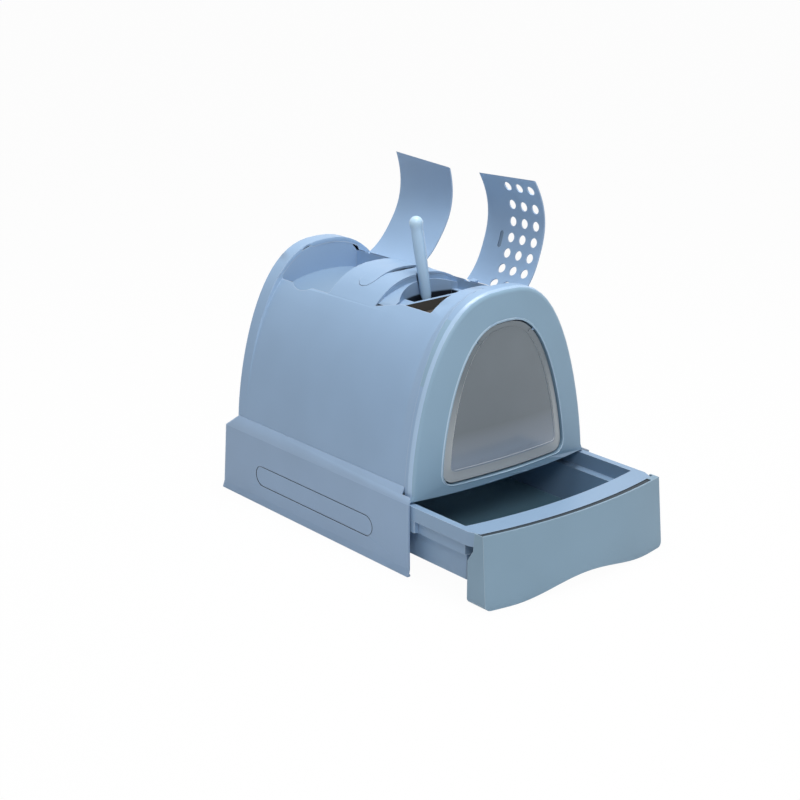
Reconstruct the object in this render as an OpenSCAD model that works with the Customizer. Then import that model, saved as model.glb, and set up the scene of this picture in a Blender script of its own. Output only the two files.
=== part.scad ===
// Drawer litter box: a skirted base with a pull-out litter drawer, an arched hood with a swing door,
// two hinged lids over the top compartments, a carry handle, a carbon filter and a scoop.
// Millimetres. +Z is up, the door faces -Y, and the origin is the middle of the base's underside.
// The drawer stands partly pulled out and both lids stand open.

/* [Base] */
// Width of the base at the floor
base_w = 400; // [360:5:440]
// Depth of the base at the floor
base_len = 521; // [475:2:565]
// Height of the skirt up to the sloped ledge
base_h = 120; // [114:1:126]
// Lean of each side wall between foot flare and skirt top
side_lean = 0.5; // [0:0.5:4]
// Lean of the back wall between foot flare and skirt top
back_lean = 12; // [4:1:16]
// How far the foot of the skirt flares out
foot_flare = 2.5; // [1:0.5:4]
// Height of the sloped ledge round the hood
ledge_h = 21.5; // [16:0.5:26]
// How far the ledge comes in at the sides
ledge_in = 10.6; // [8:0.2:14]
// How far the ledge comes in at the back
ledge_back_in = 29; // [20:1:36]
// Wall of the base and the hood
wall = 3; // [2:0.25:4]
// Radius of the base's back corners
corner_r = 6; // [5:1:20]
// Length of the stadium panel on each side
side_panel_len = 322; // [240:2:360]
// Height of the stadium panel on each side
side_panel_h = 35; // [24:1:44]

/* [Drawer] */
// How far the drawer stands out of the base
drawer_out = 162; // [0:2:240]
// How far the drawer front's top edge stands below the skirt's top
drawer_low = 2; // [2:0.5:8]
// Bow of the drawer front and the door panel, from the corners to the middle
front_bow = 23; // [16:1:28]
// Gap beside the drawer front's top, each side
drawer_side = 10; // [8:0.5:18]
// How much shorter than the base the litter tray is
tray_short = 59; // [51:2:127]
// Height of the tray's underside above the floor
tray_z = 25; // [14:1:32]
// How far the drawer front's bottom stands ahead of its top
front_lean = 9; // [4:0.5:12]
// Rise of the arched bottom edge of the drawer front
arch_rise = 17; // [6:1:24]

/* [Hood] */
// Height of the hood's end rims above the hood's foot
hood_rise = 290.5; // [270:0.5:310]
// Drop of the crown between the end rims
crown_drop = 14; // [8:1:18]
// Radius of the rounded edge of the door panel
bead_r = 9; // [5:0.5:10]
// How far the door panel leans back at its top
panel_lean = 11; // [8:1:14]

/* [Door] */
// Width of the door panel beside the door opening at its foot, each side
door_side = 56.5; // [46:0.5:76]
// Drop of the door opening's crown below the rim
door_drop = 52; // [44:1:76]
// Height of the door opening's sill above the door panel's bottom edge
sill_rise = 15; // [12:1:24]
// Drop of the flap's hinge pins below the door opening's crown
flap_pin_drop = 26; // [21:1:40]
// Gap round the flap
flap_gap = 3; // [2.5:0.25:4]

/* [Top compartments] */
// Width of the rear lid, front to back
rear_lid_len = 140; // [138:1:142]
// Width of the front lid, front to back
front_lid_len = 134.5; // [128:0.5:134.5]
// Thickness of the lids
lid_t = 2.4; // [1.8:0.2:4]
// Angle at which the rear lid stands open
rear_lid_open = 125; // [0:5:125]
// Angle at which the front lid stands open
front_lid_open = 110; // [0:5:120]
// Diameter of the air holes in the front lid
air_hole_d = 16; // [10:0.5:18]
// Depth of the front compartment's deck below the crown
deck_drop = 34; // [30:1:42]
// Thickness of the carbon filter
filter_t = 10; // [6:1:14]

/* [Scoop] */
// Length of the scoop's grip above the deck
grip_len = 118; // [90:1:150]
// Diameter of the ball at the end of the grip
ball_d = 23; // [20:0.5:26]
// Lean of the scoop in its pocket
scoop_lean = 11.6; // [11.2:0.1:12]
// Length of the scoop's blade
blade_len = 66; // [50:1:70]

/* [Hidden] */
$fn = 48;

// Overrun for every cut
over = 1;
// Running gap between pieces that slide or lift apart
gap = 0.4;
// Hair gap between pieces that are seated on each other
seat = 0.2;

// Height of the ledge's top, where the hood stands
foot_z = base_h + ledge_h;
// Height of the hood's end rims above the floor
rim_h = foot_z + hood_rise;
// Height at which the hood's sides start to curve in
spring_up = 8;
spring_z = base_h + spring_up;
// Heights of the drawer front's top edge and the door panel's bottom edge
drawer_h = base_h - drawer_low;
panel_up = 1;
door_panel_z = drawer_h + panel_up;
// Front plane of the skirt
front_y = -base_len / 2;
// Number of steps in the arch of the hood
arch_steps = 44;
// Powers of the hood's arch
side_power = 2.5;
top_power = 1.55;
// Powers of the door panel's outline
face_side_power = 2.75;
face_top_power = 1.54;
// Powers of the door's arch
door_side_power = 2.6;
door_top_power = 1.4;

// Colours
blue = [0.60, 0.71, 0.84];
blue_shade = [0.55, 0.66, 0.79];
smoke = [0.45, 0.46, 0.48, 0.5];
carbon = [0.17, 0.15, 0.13];

// Crown height between the rims
crown_h = rim_h - crown_drop;
deck_z = crown_h - deck_drop;

// Base values
skirt_top_hw = base_w / 2 - foot_flare - side_lean;
skirt_top_back = base_len / 2 - foot_flare - back_lean;
ledge_top_hw = skirt_top_hw - ledge_in;
ledge_top_back = skirt_top_back - ledge_back_in;
// Width of the hood at its foot
hood_play = 0.2;
hood_w = 2 * (ledge_top_hw - hood_play);
// Width and heights of the door opening
door_w = hood_w - 2 * door_side;
door_top = rim_h - door_drop;
door_sill = door_panel_z + sill_rise;
flap_pin_z = door_top - flap_pin_drop;

// One point of a curved arch: half width a, springing height z0, crown h, at angle t
function arch_point(a, z0, h, t, p, q) =
    [a * sign(cos(t)) * pow(abs(cos(t)), 2 / p), z0 + (h - z0) * pow(sin(t), 2 / q)];

// Height of the hood's skin over x, for a crown height h
function skin_z(x, h) =
    spring_z + (h - spring_z) * pow(1 - pow(abs(x) / (hood_w / 2), side_power), 1 / top_power);

// Angle at which the hood's arch passes over x
function arch_angle(x, a) = acos(sign(x) * pow(abs(x) / a, side_power / 2));

// Angle at which an arch of crown h passes height z
function foot_angle(z, h) = asin(pow((z - spring_z) / (h - spring_z), top_power / 2));

// The hood's arch, moved in by inset, from height foot on the right over the crown to the left
function hood_arch(inset, h, foot) =
    let (a = hood_w / 2 - inset, t0 = foot_angle(foot, h - inset))
    [for (i = [0 : arch_steps]) arch_point(a, spring_z, h - inset,
        t0 + (180 - 2 * t0) * i / arch_steps, side_power, top_power)];

// A stretch of the hood's arch between two places over x, lifted by rise
function arch_run(x_right, x_left, rise, steps) =
    let (a = hood_w / 2 + rise, t0 = arch_angle(x_right, a), t1 = arch_angle(x_left, a))
    [for (i = [0 : steps]) arch_point(a, spring_z, crown_h + rise, t0 + (t1 - t0) * i / steps,
        side_power, top_power)];

function reversed(list) = [for (i = [len(list) - 1 : -1 : 0]) list[i]];

// Lofts a closed solid through rings of points, with flat ends
module loft(rings) {
    n = len(rings[0]);
    m = len(rings);
    polyhedron(
        points = [for (r = rings) each r],
        faces = concat(
            [[for (i = [0 : n - 1]) i]],
            [[for (i = [n - 1 : -1 : 0]) (m - 1) * n + i]],
            [for (k = [0 : m - 2], i = [0 : n - 1]) let (j = (i + 1) % n)
                [k * n + i, (k + 1) * n + i, (k + 1) * n + j]],
            [for (k = [0 : m - 2], i = [0 : n - 1]) let (j = (i + 1) % n)
                [k * n + i, (k + 1) * n + j, k * n + j]]));
}

// Joins a closed loop of rings into a frame without ends
module ring_frame(rings) {
    n = len(rings[0]);
    m = len(rings);
    polyhedron(
        points = [for (r = rings) each r],
        faces = concat(
            [for (k = [0 : m - 1], i = [0 : n - 1]) let (j = (i + 1) % n, l = (k + 1) % m)
                [k * n + i, l * n + i, l * n + j]],
            [for (k = [0 : m - 1], i = [0 : n - 1]) let (j = (i + 1) % n, l = (k + 1) % m)
                [k * n + i, l * n + j, k * n + j]]));
}

// Lofts a band between an outer and an inner arch, given as lists of outer and inner sections
module band_loft(outers, inners) {
    n = len(outers[0]);
    m = len(outers);
    s = 2 * n;
    pts = [for (k = [0 : m - 1]) each concat(outers[k], reversed(inners[k]))];
    polyhedron(
        points = pts,
        faces = concat(
            [for (k = [0 : m - 2], i = [0 : s - 1]) let (j = (i + 1) % s)
                [k * s + i, (k + 1) * s + j, (k + 1) * s + i]],
            [for (k = [0 : m - 2], i = [0 : s - 1]) let (j = (i + 1) % s)
                [k * s + i, k * s + j, (k + 1) * s + j]],
            [for (i = [0 : n - 2]) [i, s - 1 - i, s - 2 - i]],
            [for (i = [0 : n - 2]) [i, s - 2 - i, i + 1]],
            [for (i = [0 : n - 2]) [(m - 1) * s + i, (m - 1) * s + s - 2 - i, (m - 1) * s + s - 1 - i]],
            [for (i = [0 : n - 2]) [(m - 1) * s + i, (m - 1) * s + i + 1, (m - 1) * s + s - 2 - i]]));
}

// Extrudes an outline drawn in X and Z along Y, from y0 to y1
module along_y(y0, y1) {
    translate([0, y1, 0]) rotate([90, 0, 0]) linear_extrude(y1 - y0) children();
}

// Extrudes an outline drawn in Y and Z along X, centred
module along_x(w) {
    rotate([90, 0, 90]) linear_extrude(w, center = true) children();
}

// A stadium outline, centred
module stadium(l, h) {
    square([l - h, h], center = true);
    for (s = [-1, 1]) translate([s * (l - h) / 2, 0]) circle(d = h);
}

// Outline of the base seen from above: square front corners, rounded back corners, bulging back
base_corner_steps = 7;
base_back_steps = 10;
function bulged(p, bulge) = [p[0], p[1] + bulge * (1 - pow(p[0] / (base_w / 2), 2)), p[2]];
function base_outline(hw, y0, y1, r, z, bulge = 0) = concat(
    [[hw, y0, z]],
    [for (i = [0 : base_corner_steps]) let (t = 90 * i / base_corner_steps)
        bulged([hw - r + r * cos(t), y1 - r + r * sin(t), z], bulge)],
    [for (i = [1 : base_back_steps - 1]) bulged([(hw - r) * (1 - 2 * i / base_back_steps), y1, z], bulge)],
    [for (i = [0 : base_corner_steps]) let (t = 90 + 90 * i / base_corner_steps)
        bulged([-hw + r + r * cos(t), y1 - r + r * sin(t), z], bulge)],
    [[-hw, y0, z]]);

// Base shell values
floor_t = wall;
flare_h = 12;
ledge_end_len = 27;
ledge_end_steps = 8;
floor_set_back = 92;
panel_groove = 0.9;
panel_depth = 1.5;
panel_mid_share = 0.446;
panel_mid_z = base_h * panel_mid_share;
panel_shift = -8.5;
// Bay for the legs of the door panel
leg_out = 5;
leg_hw = hood_w / 2 + leg_out;
leg_depth = 22;

// Half width of the skirt's outer face at height z
function skirt_hw(z) = base_w / 2 - foot_flare * min(z / flare_h, 1)
    - side_lean * max(z - flare_h, 0) / (base_h - flare_h);

module base_block(inset, y0, z0) {
    hw0 = skirt_hw(z0) - inset;
    hw1 = skirt_hw(flare_h) - inset;
    back1 = base_len / 2 - foot_flare - inset;
    back0 = back1 + foot_flare * (1 - z0 / flare_h);
    loft([base_outline(hw0, y0, back0, corner_r - inset, z0),
        base_outline(hw1, y0, back1, corner_r - inset, flare_h),
        base_outline(skirt_top_hw - inset, y0, skirt_top_back - inset, corner_r - inset, base_h),
        base_outline(ledge_top_hw - inset, y0, ledge_top_back - inset, corner_r - inset,
            foot_z + (inset > 0 ? over : 0), back_bow)]);
}

// Side view of the base: the ledge ends in a quarter of an oval behind the front edge
module base_profile() {
    back_y = base_len / 2 + over;
    polygon(concat(
        [[front_y, 0]],
        [for (i = [0 : ledge_end_steps]) let (t = 90 * i / ledge_end_steps)
            [front_y + ledge_end_len * (1 - cos(t)), base_h + ledge_h * sin(t)]],
        [[back_y, foot_z], [back_y, 0]]));
}

module side_panel_seat(s, grow, deep) {
    lean = atan(side_lean / (base_h - flare_h));
    translate([s * (skirt_hw(panel_mid_z) + over), panel_shift, panel_mid_z])
        rotate([0, -s * lean, 0]) rotate([90, 0, 90])
            translate([0, 0, s > 0 ? -deep - over : 0])
                linear_extrude(deep + over) stadium(side_panel_len + grow, side_panel_h + grow);
}

module base_shell() {
    color(blue) difference() {
        intersection() {
            base_block(0, front_y, 0);
            along_x(base_w + over) base_profile();
        }
        base_block(wall, front_y - over, floor_t);
        // The drawer's mouth reaches down to the floor
        translate([wall - skirt_top_hw, front_y - over, -over])
            cube([2 * (skirt_top_hw - wall), floor_set_back + over, base_h / 2]);
        // Bay for the legs of the door panel
        translate([-leg_hw - gap, front_y - over, drawer_h])
            cube([2 * (leg_hw + gap), leg_depth + gap + over, foot_z]);
        for (s = [-1, 1]) side_panel_seat(s, 2 * panel_groove, panel_depth);
    }
}

module side_panels() {
    color(blue) for (s = [-1, 1]) intersection() {
        side_panel_seat(s, 0, panel_depth);
        base_block(0, front_y, 0);
    }
}

// Runner values: a rail on each inner side wall carries the drawer's ribbed blocks
ride_share = 0.612;
ride_z = base_h * ride_share;
runner_top = ride_z - seat;
runner_h = 16;
runner_w = 11.2;
runner_in = skirt_hw(runner_top) - wall - seat - runner_w;
runner_front_in = 42;
runner_back_in = 51;

module runner(s) {
    len_y = base_len - runner_front_in - runner_back_in;
    y0 = front_y + runner_front_in;
    outer_hw = skirt_hw(runner_top) - wall - seat;
    difference() {
        translate([s > 0 ? runner_in : -outer_hw, y0, runner_top - runner_h])
            cube([outer_hw - runner_in, len_y, runner_h]);
        // Hollow underneath
        translate([s > 0 ? runner_in + wall : -outer_hw + wall, y0 + wall, runner_top - runner_h - over])
            cube([outer_hw - runner_in - 2 * wall, len_y - 2 * wall, runner_h - wall + over]);
    }
}

module runner_left() color(blue_shade) runner(-1);
module runner_right() color(blue_shade) runner(1);

// Bowed front: how far the middle of a front stands ahead of its corners, over x
function bow(x) = -front_bow * (1 - pow(x / (base_w / 2), 2));
bow_r = (pow(base_w / 2, 2) + pow(front_bow, 2)) / (2 * front_bow);

// Drawer values
drawer_y = front_y - drawer_out;
tray_len = base_len - tray_short;
drawer_w = base_w - 2 * drawer_side;
panel_foot_out = 2;
panel_bottom_w = drawer_w + 2 * panel_foot_out;
panel_wall = 3;
panel_top_t = 12;
panel_gap = 1.4;
return_top = 16;
return_low = 31;
return_mid = 19;
return_step_z = 70;
return_slope_z = 88;
panel_corner_r = 9;
rim_side = 9;
rim_hw = base_w / 2 - rim_side;
rim_w = 12;
rim_drop = 23;
rim_low = 1.2;
rim_z = drawer_h - rim_low;
tray_wall = 2.5;
recess_in = 9;
low_in = 19;
recess_z = 71.5;
low_z = 65.5;
step_in = 22;
step_z = 92;
floor_in = 24;
tray_back_r = 20;
front_rim_w = 40;
rim_notch_w = 8;
rim_notch_len = 16;
block_front = 6;
block_len = 27;
block_back_in = 34;
block_rib = 1.6;
block_ribs = 5;

// Plan outline of the tray: bowed front, cut front corners, straight sides, rounded back corners
tray_front_steps = 16;
tray_corner_steps = 5;
function tray_outline(hw, y0, y1, r, z, notch) = concat(
    [[-hw, y0 + rim_notch_len, z]],
    [for (i = [0 : tray_front_steps]) let (w = hw - notch, x = -w + 2 * w * i / tray_front_steps)
        [x, y0 + bow(x), z]],
    [[hw, y0 + rim_notch_len, z]],
    [for (i = [0 : tray_corner_steps]) let (t = 90 * i / tray_corner_steps)
        [hw - r + r * cos(t), y1 - r + r * sin(t), z]],
    [for (i = [0 : tray_corner_steps]) let (t = 90 + 90 * i / tray_corner_steps)
        [-hw + r + r * cos(t), y1 - r + r * sin(t), z]]);

module drawer_tray() {
    y0 = drawer_y + panel_top_t + panel_gap;
    y1 = drawer_y + tray_len;
    // Each row: how far the wall lies in from the rim's outer edge, and its height
    flange = tray_wall;
    back_in = front_rim_w - rim_w;
    rows = [
        // Outer face, from the underside up
        [low_in, tray_z],
        [low_in, low_z],
        [recess_in, recess_z],
        [recess_in, rim_z - tray_wall],
        [flange, rim_z - tray_wall],
        [flange, rim_z - rim_drop],
        [0, rim_z - rim_drop],
        [0, rim_z],
        // Inner face, from the rim down
        [rim_w, rim_z],
        [rim_w, step_z],
        [step_in, step_z - tray_wall],
        [step_in, low_z],
        [floor_in, tray_z + tray_wall]];
    color(blue_shade) union() {
        loft([for (r = rows) tray_outline(rim_hw - r[0], y0 + r[0] + (r[0] > flange ? back_in : 0),
            y1 - r[0], tray_back_r - min(r[0], tray_back_r / 2), r[1],
            r[0] > flange ? seat : rim_notch_w)]);
        // Ribbed blocks that ride on the runners
        for (s = [-1, 1], y = [front_y - block_front, y1 - block_back_in - block_len])
            ride_block(s, y, rim_hw - recess_in);
    }
}

module ride_block(s, y, x_in) {
    w = rim_hw - seat - x_in;
    pitch = w / (block_ribs + 1);
    h = rim_z - rim_drop - ride_z - 2 * seat;
    translate([s > 0 ? x_in - tray_wall / 2 : -x_in - w, y, ride_z + seat])
        cube([w + tray_wall / 2, block_len, h]);
    for (i = [1 : block_ribs])
        translate([s * (x_in + i * pitch) - block_rib / 2, y - block_rib / 2, ride_z + seat])
            cube([block_rib, block_rib, h]);
}

// Front view of the drawer front: flat feet, an arched bottom edge and rounded lower corners
arch_hw = 150;
panel_edge_steps = 24;
function panel_bottom(x) = abs(x) < arch_hw ? arch_rise * (0.5 + 0.5 * cos(180 * x / arch_hw)) : 0;

module panel_face(inset) {
    hw_t = drawer_w / 2 - inset;
    hw_b = panel_bottom_w / 2 - inset;
    r = panel_corner_r - inset;
    low = inset;
    polygon(concat(
        [for (i = [0 : 4]) let (t = 180 + 90 * i / 4) [-hw_b + r + r * cos(t), low + r + r * sin(t)]],
        [for (i = [0 : panel_edge_steps]) let (x = -arch_hw + 2 * arch_hw * i / panel_edge_steps)
            [x, low + panel_bottom(x)]],
        [for (i = [0 : 4]) let (t = 270 + 90 * i / 4) [hw_b - r + r * cos(t), low + r + r * sin(t)]],
        [[hw_t, drawer_h - inset], [-hw_t, drawer_h - inset]]));
}

module drawer_front() {
    back = drawer_y + return_low;
    y_front = drawer_y - front_bow - front_lean - over;
    color(blue) union() {
        difference() {
            intersection() {
                along_y(y_front, back) panel_face(0);
                bowed_solid(drawer_y);
                along_x(2 * drawer_w) panel_side(y_front, back);
            }
            intersection() {
                along_y(y_front, back + over) panel_face(panel_wall);
                bowed_solid(drawer_y + panel_wall);
            }
            // Behind the flange round the edge only the side returns are left
            intersection() {
                translate([-drawer_w / 2 + panel_wall, y_front, -over])
                    cube([drawer_w - 2 * panel_wall, back - y_front + over, base_h + over]);
                bowed_solid(drawer_y + panel_top_t);
            }
        }
        for (x = [-1, 0, 1]) drawer_hook(x * hook_pitch);
    }
}

// Side view of the drawer front: shallow beside the tray's rim, deep below it
module panel_side(y_front, back) {
    polygon([[y_front, -over], [back, -over], [back, return_step_z],
        [drawer_y + return_mid, return_slope_z], [drawer_y + return_top, drawer_h + over],
        [y_front, drawer_h + over]]);
}

// Hook values: each reaches under the tray's front flange and up behind it
hook_pitch = 110;
hook_w = 22;
hook_t = 3.6;
hook_rise = 14;

module drawer_hook(x) {
    low = rim_z - rim_drop - seat - hook_t;
    y_rim = drawer_y + panel_top_t + panel_gap + tray_wall + seat;
    intersection() {
        translate([x - hook_w / 2, drawer_y - front_bow - over, low])
            cube([hook_w, base_len, hook_t + hook_rise]);
        union() {
            bowed_wall(drawer_y, y_rim + hook_t, low, hook_t);
            bowed_wall(y_rim, y_rim + hook_t, low, hook_t + hook_rise);
        }
    }
}

// The space behind the drawer front's bowed and leaning face
module bowed_solid(y) {
    translate([0, y - front_bow, drawer_h]) rotate([-atan(front_lean / drawer_h), 0, 0])
        translate([0, bow_r, -bow_r]) cylinder(r = bow_r, h = 2 * bow_r, $fn = 180);
}

// A wall between two bowed faces, from height z up
module bowed_wall(y0, y1, z, h) {
    difference() {
        translate([0, y0 - front_bow + bow_r, z]) cylinder(r = bow_r, h = h, $fn = 180);
        translate([0, y1 - front_bow + bow_r, z - over]) cylinder(r = bow_r, h = h + 2 * over, $fn = 180);
    }
}

// Hood values
hood_front = front_y + leg_depth + seat;
hood_back = ledge_top_back - hood_play;
back_bow = 10;
back_bow_r = (pow(base_w / 2, 2) + pow(back_bow, 2)) / (2 * back_bow);
front_flare = 26;
back_flare = 3;
back_rim = 20;
flare_steps = 8;
lip_h = 12;

// Crown height along the hood: it rises to the rims at both ends
function crown_at(y) =
    y < hood_front + front_flare
        ? crown_h + crown_drop * (0.5 + 0.5 * cos(180 * (y - hood_front) / front_flare))
        : y > hood_back - back_rim
            ? rim_h
            : y > hood_back - back_rim - back_flare
                ? crown_h + crown_drop * (0.5 - 0.5 * cos(180 * (y - hood_back + back_rim + back_flare) / back_flare))
                : crown_h;

// The hood's outer or inner arch at y: its front end takes the door panel's outline
function skin_arch(inset, y) =
    let (k = y < hood_front + front_flare ? 0.5 + 0.5 * cos(180 * (y - hood_front) / front_flare) : 0,
        h = crown_at(y) - inset, a = hood_w / 2 - inset,
        f0 = foot_angle(foot_z, h), f1 = asin(pow((foot_z - spring_z) / (h - spring_z), face_top_power / 2)))
    [for (i = [0 : arch_steps])
        let (u = i / arch_steps,
            p0 = arch_point(a, spring_z, h, f0 + (180 - 2 * f0) * u, side_power, top_power),
            p1 = arch_point(a, spring_z, h, f1 + (180 - 2 * f1) * u, face_side_power, face_top_power))
        p0 * (1 - k) + p1 * k];

hood_ys = concat(
    [for (i = [0 : flare_steps]) hood_front + front_flare * i / flare_steps],
    [for (i = [0 : flare_steps / 2]) hood_back - back_rim - back_flare + back_flare * i * 2 / flare_steps],
    [hood_back + back_bow + over]);

function at_y(pts, y) = [for (p = pts) [p[0], y, p[1]]];

module hood_prism(inset, y0, y1, foot) {
    pts = hood_arch(inset, rim_h, foot);
    along_y(y0, y1) polygon(pts);
}

// Strip and openings in the crown
rear_open_from = 321;
rear_open_y = front_y + rear_open_from;
rear_open_len = 135;
rear_open_left = -100;
front_open_from = 76;
front_open_y = front_y + front_open_from;
front_open_len = 125;
front_open_left = -85;
front_open_corner = -97.5;
front_open_bend = 146;
front_open_bend_y = front_y + front_open_bend;
open_right = 70;
open_r = 4;
finger_cut_w = 55;
finger_cut_in = 6.5;
finger_cut_from = 396;
finger_cut_y = front_y + finger_cut_from;
finger_cut_r = (pow(finger_cut_w / 2, 2) + pow(finger_cut_in, 2)) / (2 * finger_cut_in);
notch_r = 11.5;
// Line where the scoop's slot begins
slot_front = 165;

// Carry handle
handle_from = 263;
handle_y = front_y + handle_from;
handle_w = 34;
handle_hw = 76;
handle_gap = 0.7;
finger_y = 10;
finger_hw = 38;

module top_opening(x0, x1, y0, len_y) {
    translate([(x0 + x1) / 2, y0 + len_y / 2, base_h + ledge_h + over]) linear_extrude(rim_h)
        union() {
            square([x1 - x0 - 2 * open_r, len_y], center = true);
            square([x1 - x0, len_y - 2 * open_r], center = true);
            for (sx = [-1, 1], sy = [-1, 1])
                translate([sx * ((x1 - x0) / 2 - open_r), sy * (len_y / 2 - open_r)]) circle(r = open_r);
        }
}

module handle_window(grow) {
    translate([0, handle_y, base_h + ledge_h + over]) linear_extrude(rim_h)
        stadium(2 * handle_hw + 2 * grow, handle_w + 2 * grow);
}

module finger_window() {
    translate([0, handle_y - handle_w / 2, base_h + ledge_h + over]) linear_extrude(rim_h)
        intersection() {
            translate([0, (pow(finger_hw, 2) - pow(finger_y, 2)) / (2 * finger_y)])
                circle(r = (pow(finger_hw, 2) + pow(finger_y, 2)) / (2 * finger_y));
            translate([-finger_hw, -finger_y]) square([2 * finger_hw, 2 * finger_y]);
        }
}

// Scoop values
blade_t = 2.5;
blade_top = -8;
scoop_x = 0;
scoop_from = 189;
scoop_y = front_y + scoop_from;

// Places the children along the scoop's leaning axis, with zero at the deck
module on_scoop_axis() {
    translate([scoop_x, scoop_y, deck_z]) rotate([-scoop_lean, 0, 0]) children();
}

// Hinge values: two arms on each lid end in knuckles, which turn on pins between lugs under the skin
hinge_x = 73.5;
hinge_sink = 6;
hinge_z = skin_z(hinge_x, crown_h) - hinge_sink;
knuckle_r = 3;
knuckle_len = 14;
lug_t = 4;
lug_gap = 0.4;
lug_r = 3.4;
pin_r = 1.5;
bore_play = 0.05;
knuckle_in = 20;
slot_out = 15;
arm_w = 4.4;
arm_share = 0.7;
lid_end_in = 6.5;
lid_right = hinge_x - lid_end_in;
slot_left = lid_right - arm_w - gap;

// Middles of the two knuckles of a lid that starts at y
function knuckle_ys(y, len_y) = [y + knuckle_in, y + len_y - knuckle_in];

module hinge_lugs(y_lid, len_y) {
    for (y = knuckle_ys(y_lid, len_y), s = [-1, 1])
        translate([hinge_x, y + s * (knuckle_len / 2 + lug_gap + lug_t / 2), hinge_z])
            cube([2 * lug_r, lug_t, 2 * lug_r], center = true);
}

module hinge_slots(y_lid, len_y) {
    for (y = knuckle_ys(y_lid, len_y))
        translate([slot_left, y - knuckle_len / 2 - lug_gap, foot_z + over])
            cube([hinge_x + slot_out - slot_left, knuckle_len + 2 * lug_gap, rim_h]);
}

module hinge_bores(y_lid, len_y, r) {
    for (y = knuckle_ys(y_lid, len_y))
        translate([hinge_x, y, hinge_z]) rotate([90, 0, 0])
            cylinder(r = r, h = knuckle_len + 2 * (lug_gap + lug_t) + 2 * over, center = true);
}

// Lids
rear_lid_from = 312.5;
rear_lid_y = front_y + rear_lid_from;
front_lid_from = 51;
front_lid_y = front_y + front_lid_from;
rear_lid_left = -111.7;
rear_lid_slant = -3.1;
front_lid_left = -110;
front_lid_slant = 2.3;
lid_lift = 0.8;
lid_steps = 22;

module hood_shell() {
    outers = [for (y = hood_ys) at_y(skin_arch(0, y), y)];
    inners = [for (y = hood_ys) at_y(skin_arch(wall, y), y)];
    color(blue) difference() {
        union() {
            intersection() {
                union() {
                    band_loft(outers, inners);
                    hood_prism(wall, hood_back - wall - back_bow, hood_back + back_bow, foot_z);
                }
                // Bowed back face
                translate([0, hood_back + back_bow - back_bow_r, 0])
                    cylinder(r = back_bow_r, h = rim_h + over, $fn = 240);
            }
            // Locating lip inside the base's ledge
            hood_lip();
            hinge_lugs(rear_lid_y, rear_lid_len);
            hinge_lugs(front_lid_y, front_lid_len);
        }
        // Hollow in front of the back wall
        intersection() {
            hood_prism(wall, hood_back - back_rim, hood_back + back_bow, foot_z - over);
            translate([0, hood_back + back_bow - wall - back_bow_r, -over])
                cylinder(r = back_bow_r, h = rim_h + 2 * over, $fn = 240);
        }
        top_opening(rear_open_left, open_right, rear_open_y, rear_open_len);
        top_opening(front_open_left, open_right, front_open_y, front_open_len);
        // The front opening runs out into a corner behind its left edge
        translate([0, 0, foot_z + over]) linear_extrude(rim_h)
            polygon([[front_open_corner, front_open_y + front_open_len],
                [0, front_open_y + front_open_len], [0, front_open_bend_y],
                [front_open_left, front_open_bend_y]]);
        // Finger cut beside the rear opening
        translate([rear_open_left - finger_cut_in + finger_cut_r, finger_cut_y, foot_z + over])
            cylinder(r = finger_cut_r, h = rim_h);
        // Slots for the arms of the lids
        hinge_slots(rear_lid_y, rear_lid_len);
        hinge_slots(front_lid_y, front_lid_len);
        handle_window(handle_gap);
        finger_window();
        // Notch for the scoop's grip
        on_scoop_axis() cylinder(r = notch_r, h = grip_len);
        hinge_bores(rear_lid_y, rear_lid_len, pin_r + bore_play);
        hinge_bores(front_lid_y, front_lid_len, pin_r + bore_play);
    }
}

module hood_lip() {
    hw = ledge_top_hw - wall - gap;
    back = ledge_top_back - wall - gap;
    y0 = hood_front + over;
    r = corner_r - wall;
    difference() {
        translate([0, 0, foot_z - lip_h]) linear_extrude(lip_h + wall) lip_outline(hw, y0, back, r);
        translate([0, 0, foot_z - lip_h - over]) linear_extrude(lip_h + wall + 2 * over)
            lip_outline(hw - wall, y0 - over, back - wall, r - wall / 2);
    }
}

module lip_outline(hw, y0, y1, r) {
    polygon([for (p = base_outline(hw, y0, y1, r, 0, back_bow)) [p[0], p[1]]]);
}

// Door panel outlines, seen from the front, with the same number of points on both
arch_pts = 36;
bottom_pts = 7;
corner_pts = 4;
door_corner = 20;
door_spring = door_sill + door_corner;

function panel_outline() = concat(
    [for (i = [0 : arch_pts]) arch_point(hood_w / 2, spring_z, rim_h, 180 * i / arch_pts,
        face_side_power, face_top_power)],
    [for (i = [1 : corner_pts]) let (k = i / corner_pts)
        [-hood_w / 2 - (leg_hw - hood_w / 2) * k, spring_z - (spring_z - door_panel_z) * k]],
    [for (i = [1 : bottom_pts]) [-leg_hw + 2 * leg_hw * i / (bottom_pts + 1), door_panel_z]],
    [for (i = [0 : corner_pts - 1]) let (k = 1 - i / corner_pts)
        [hood_w / 2 + (leg_hw - hood_w / 2) * k, spring_z - (spring_z - door_panel_z) * k]]);

function door_outline(inset) =
    door_shape(door_w / 2 - inset, door_sill + inset, door_top - inset, door_corner - inset);

// A door outline of half width hw from z_low to z_top, with lower corners of radius r
function door_shape(hw, z_low, z_top, r) = concat(
    [for (i = [0 : arch_pts]) arch_point(hw, z_low + r, z_top, 180 * i / arch_pts,
        door_side_power, door_top_power)],
    [for (i = [1 : corner_pts]) let (t = 180 + 90 * i / corner_pts)
        [-hw + r + r * cos(t), z_low + r + r * sin(t)]],
    [for (i = [1 : bottom_pts]) [(r - hw) + 2 * (hw - r) * i / (bottom_pts + 1), z_low]],
    [for (i = [0 : corner_pts - 1]) let (t = 270 + 90 * i / corner_pts)
        [hw - r + r * cos(t), z_low + r + r * sin(t)]]);

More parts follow.
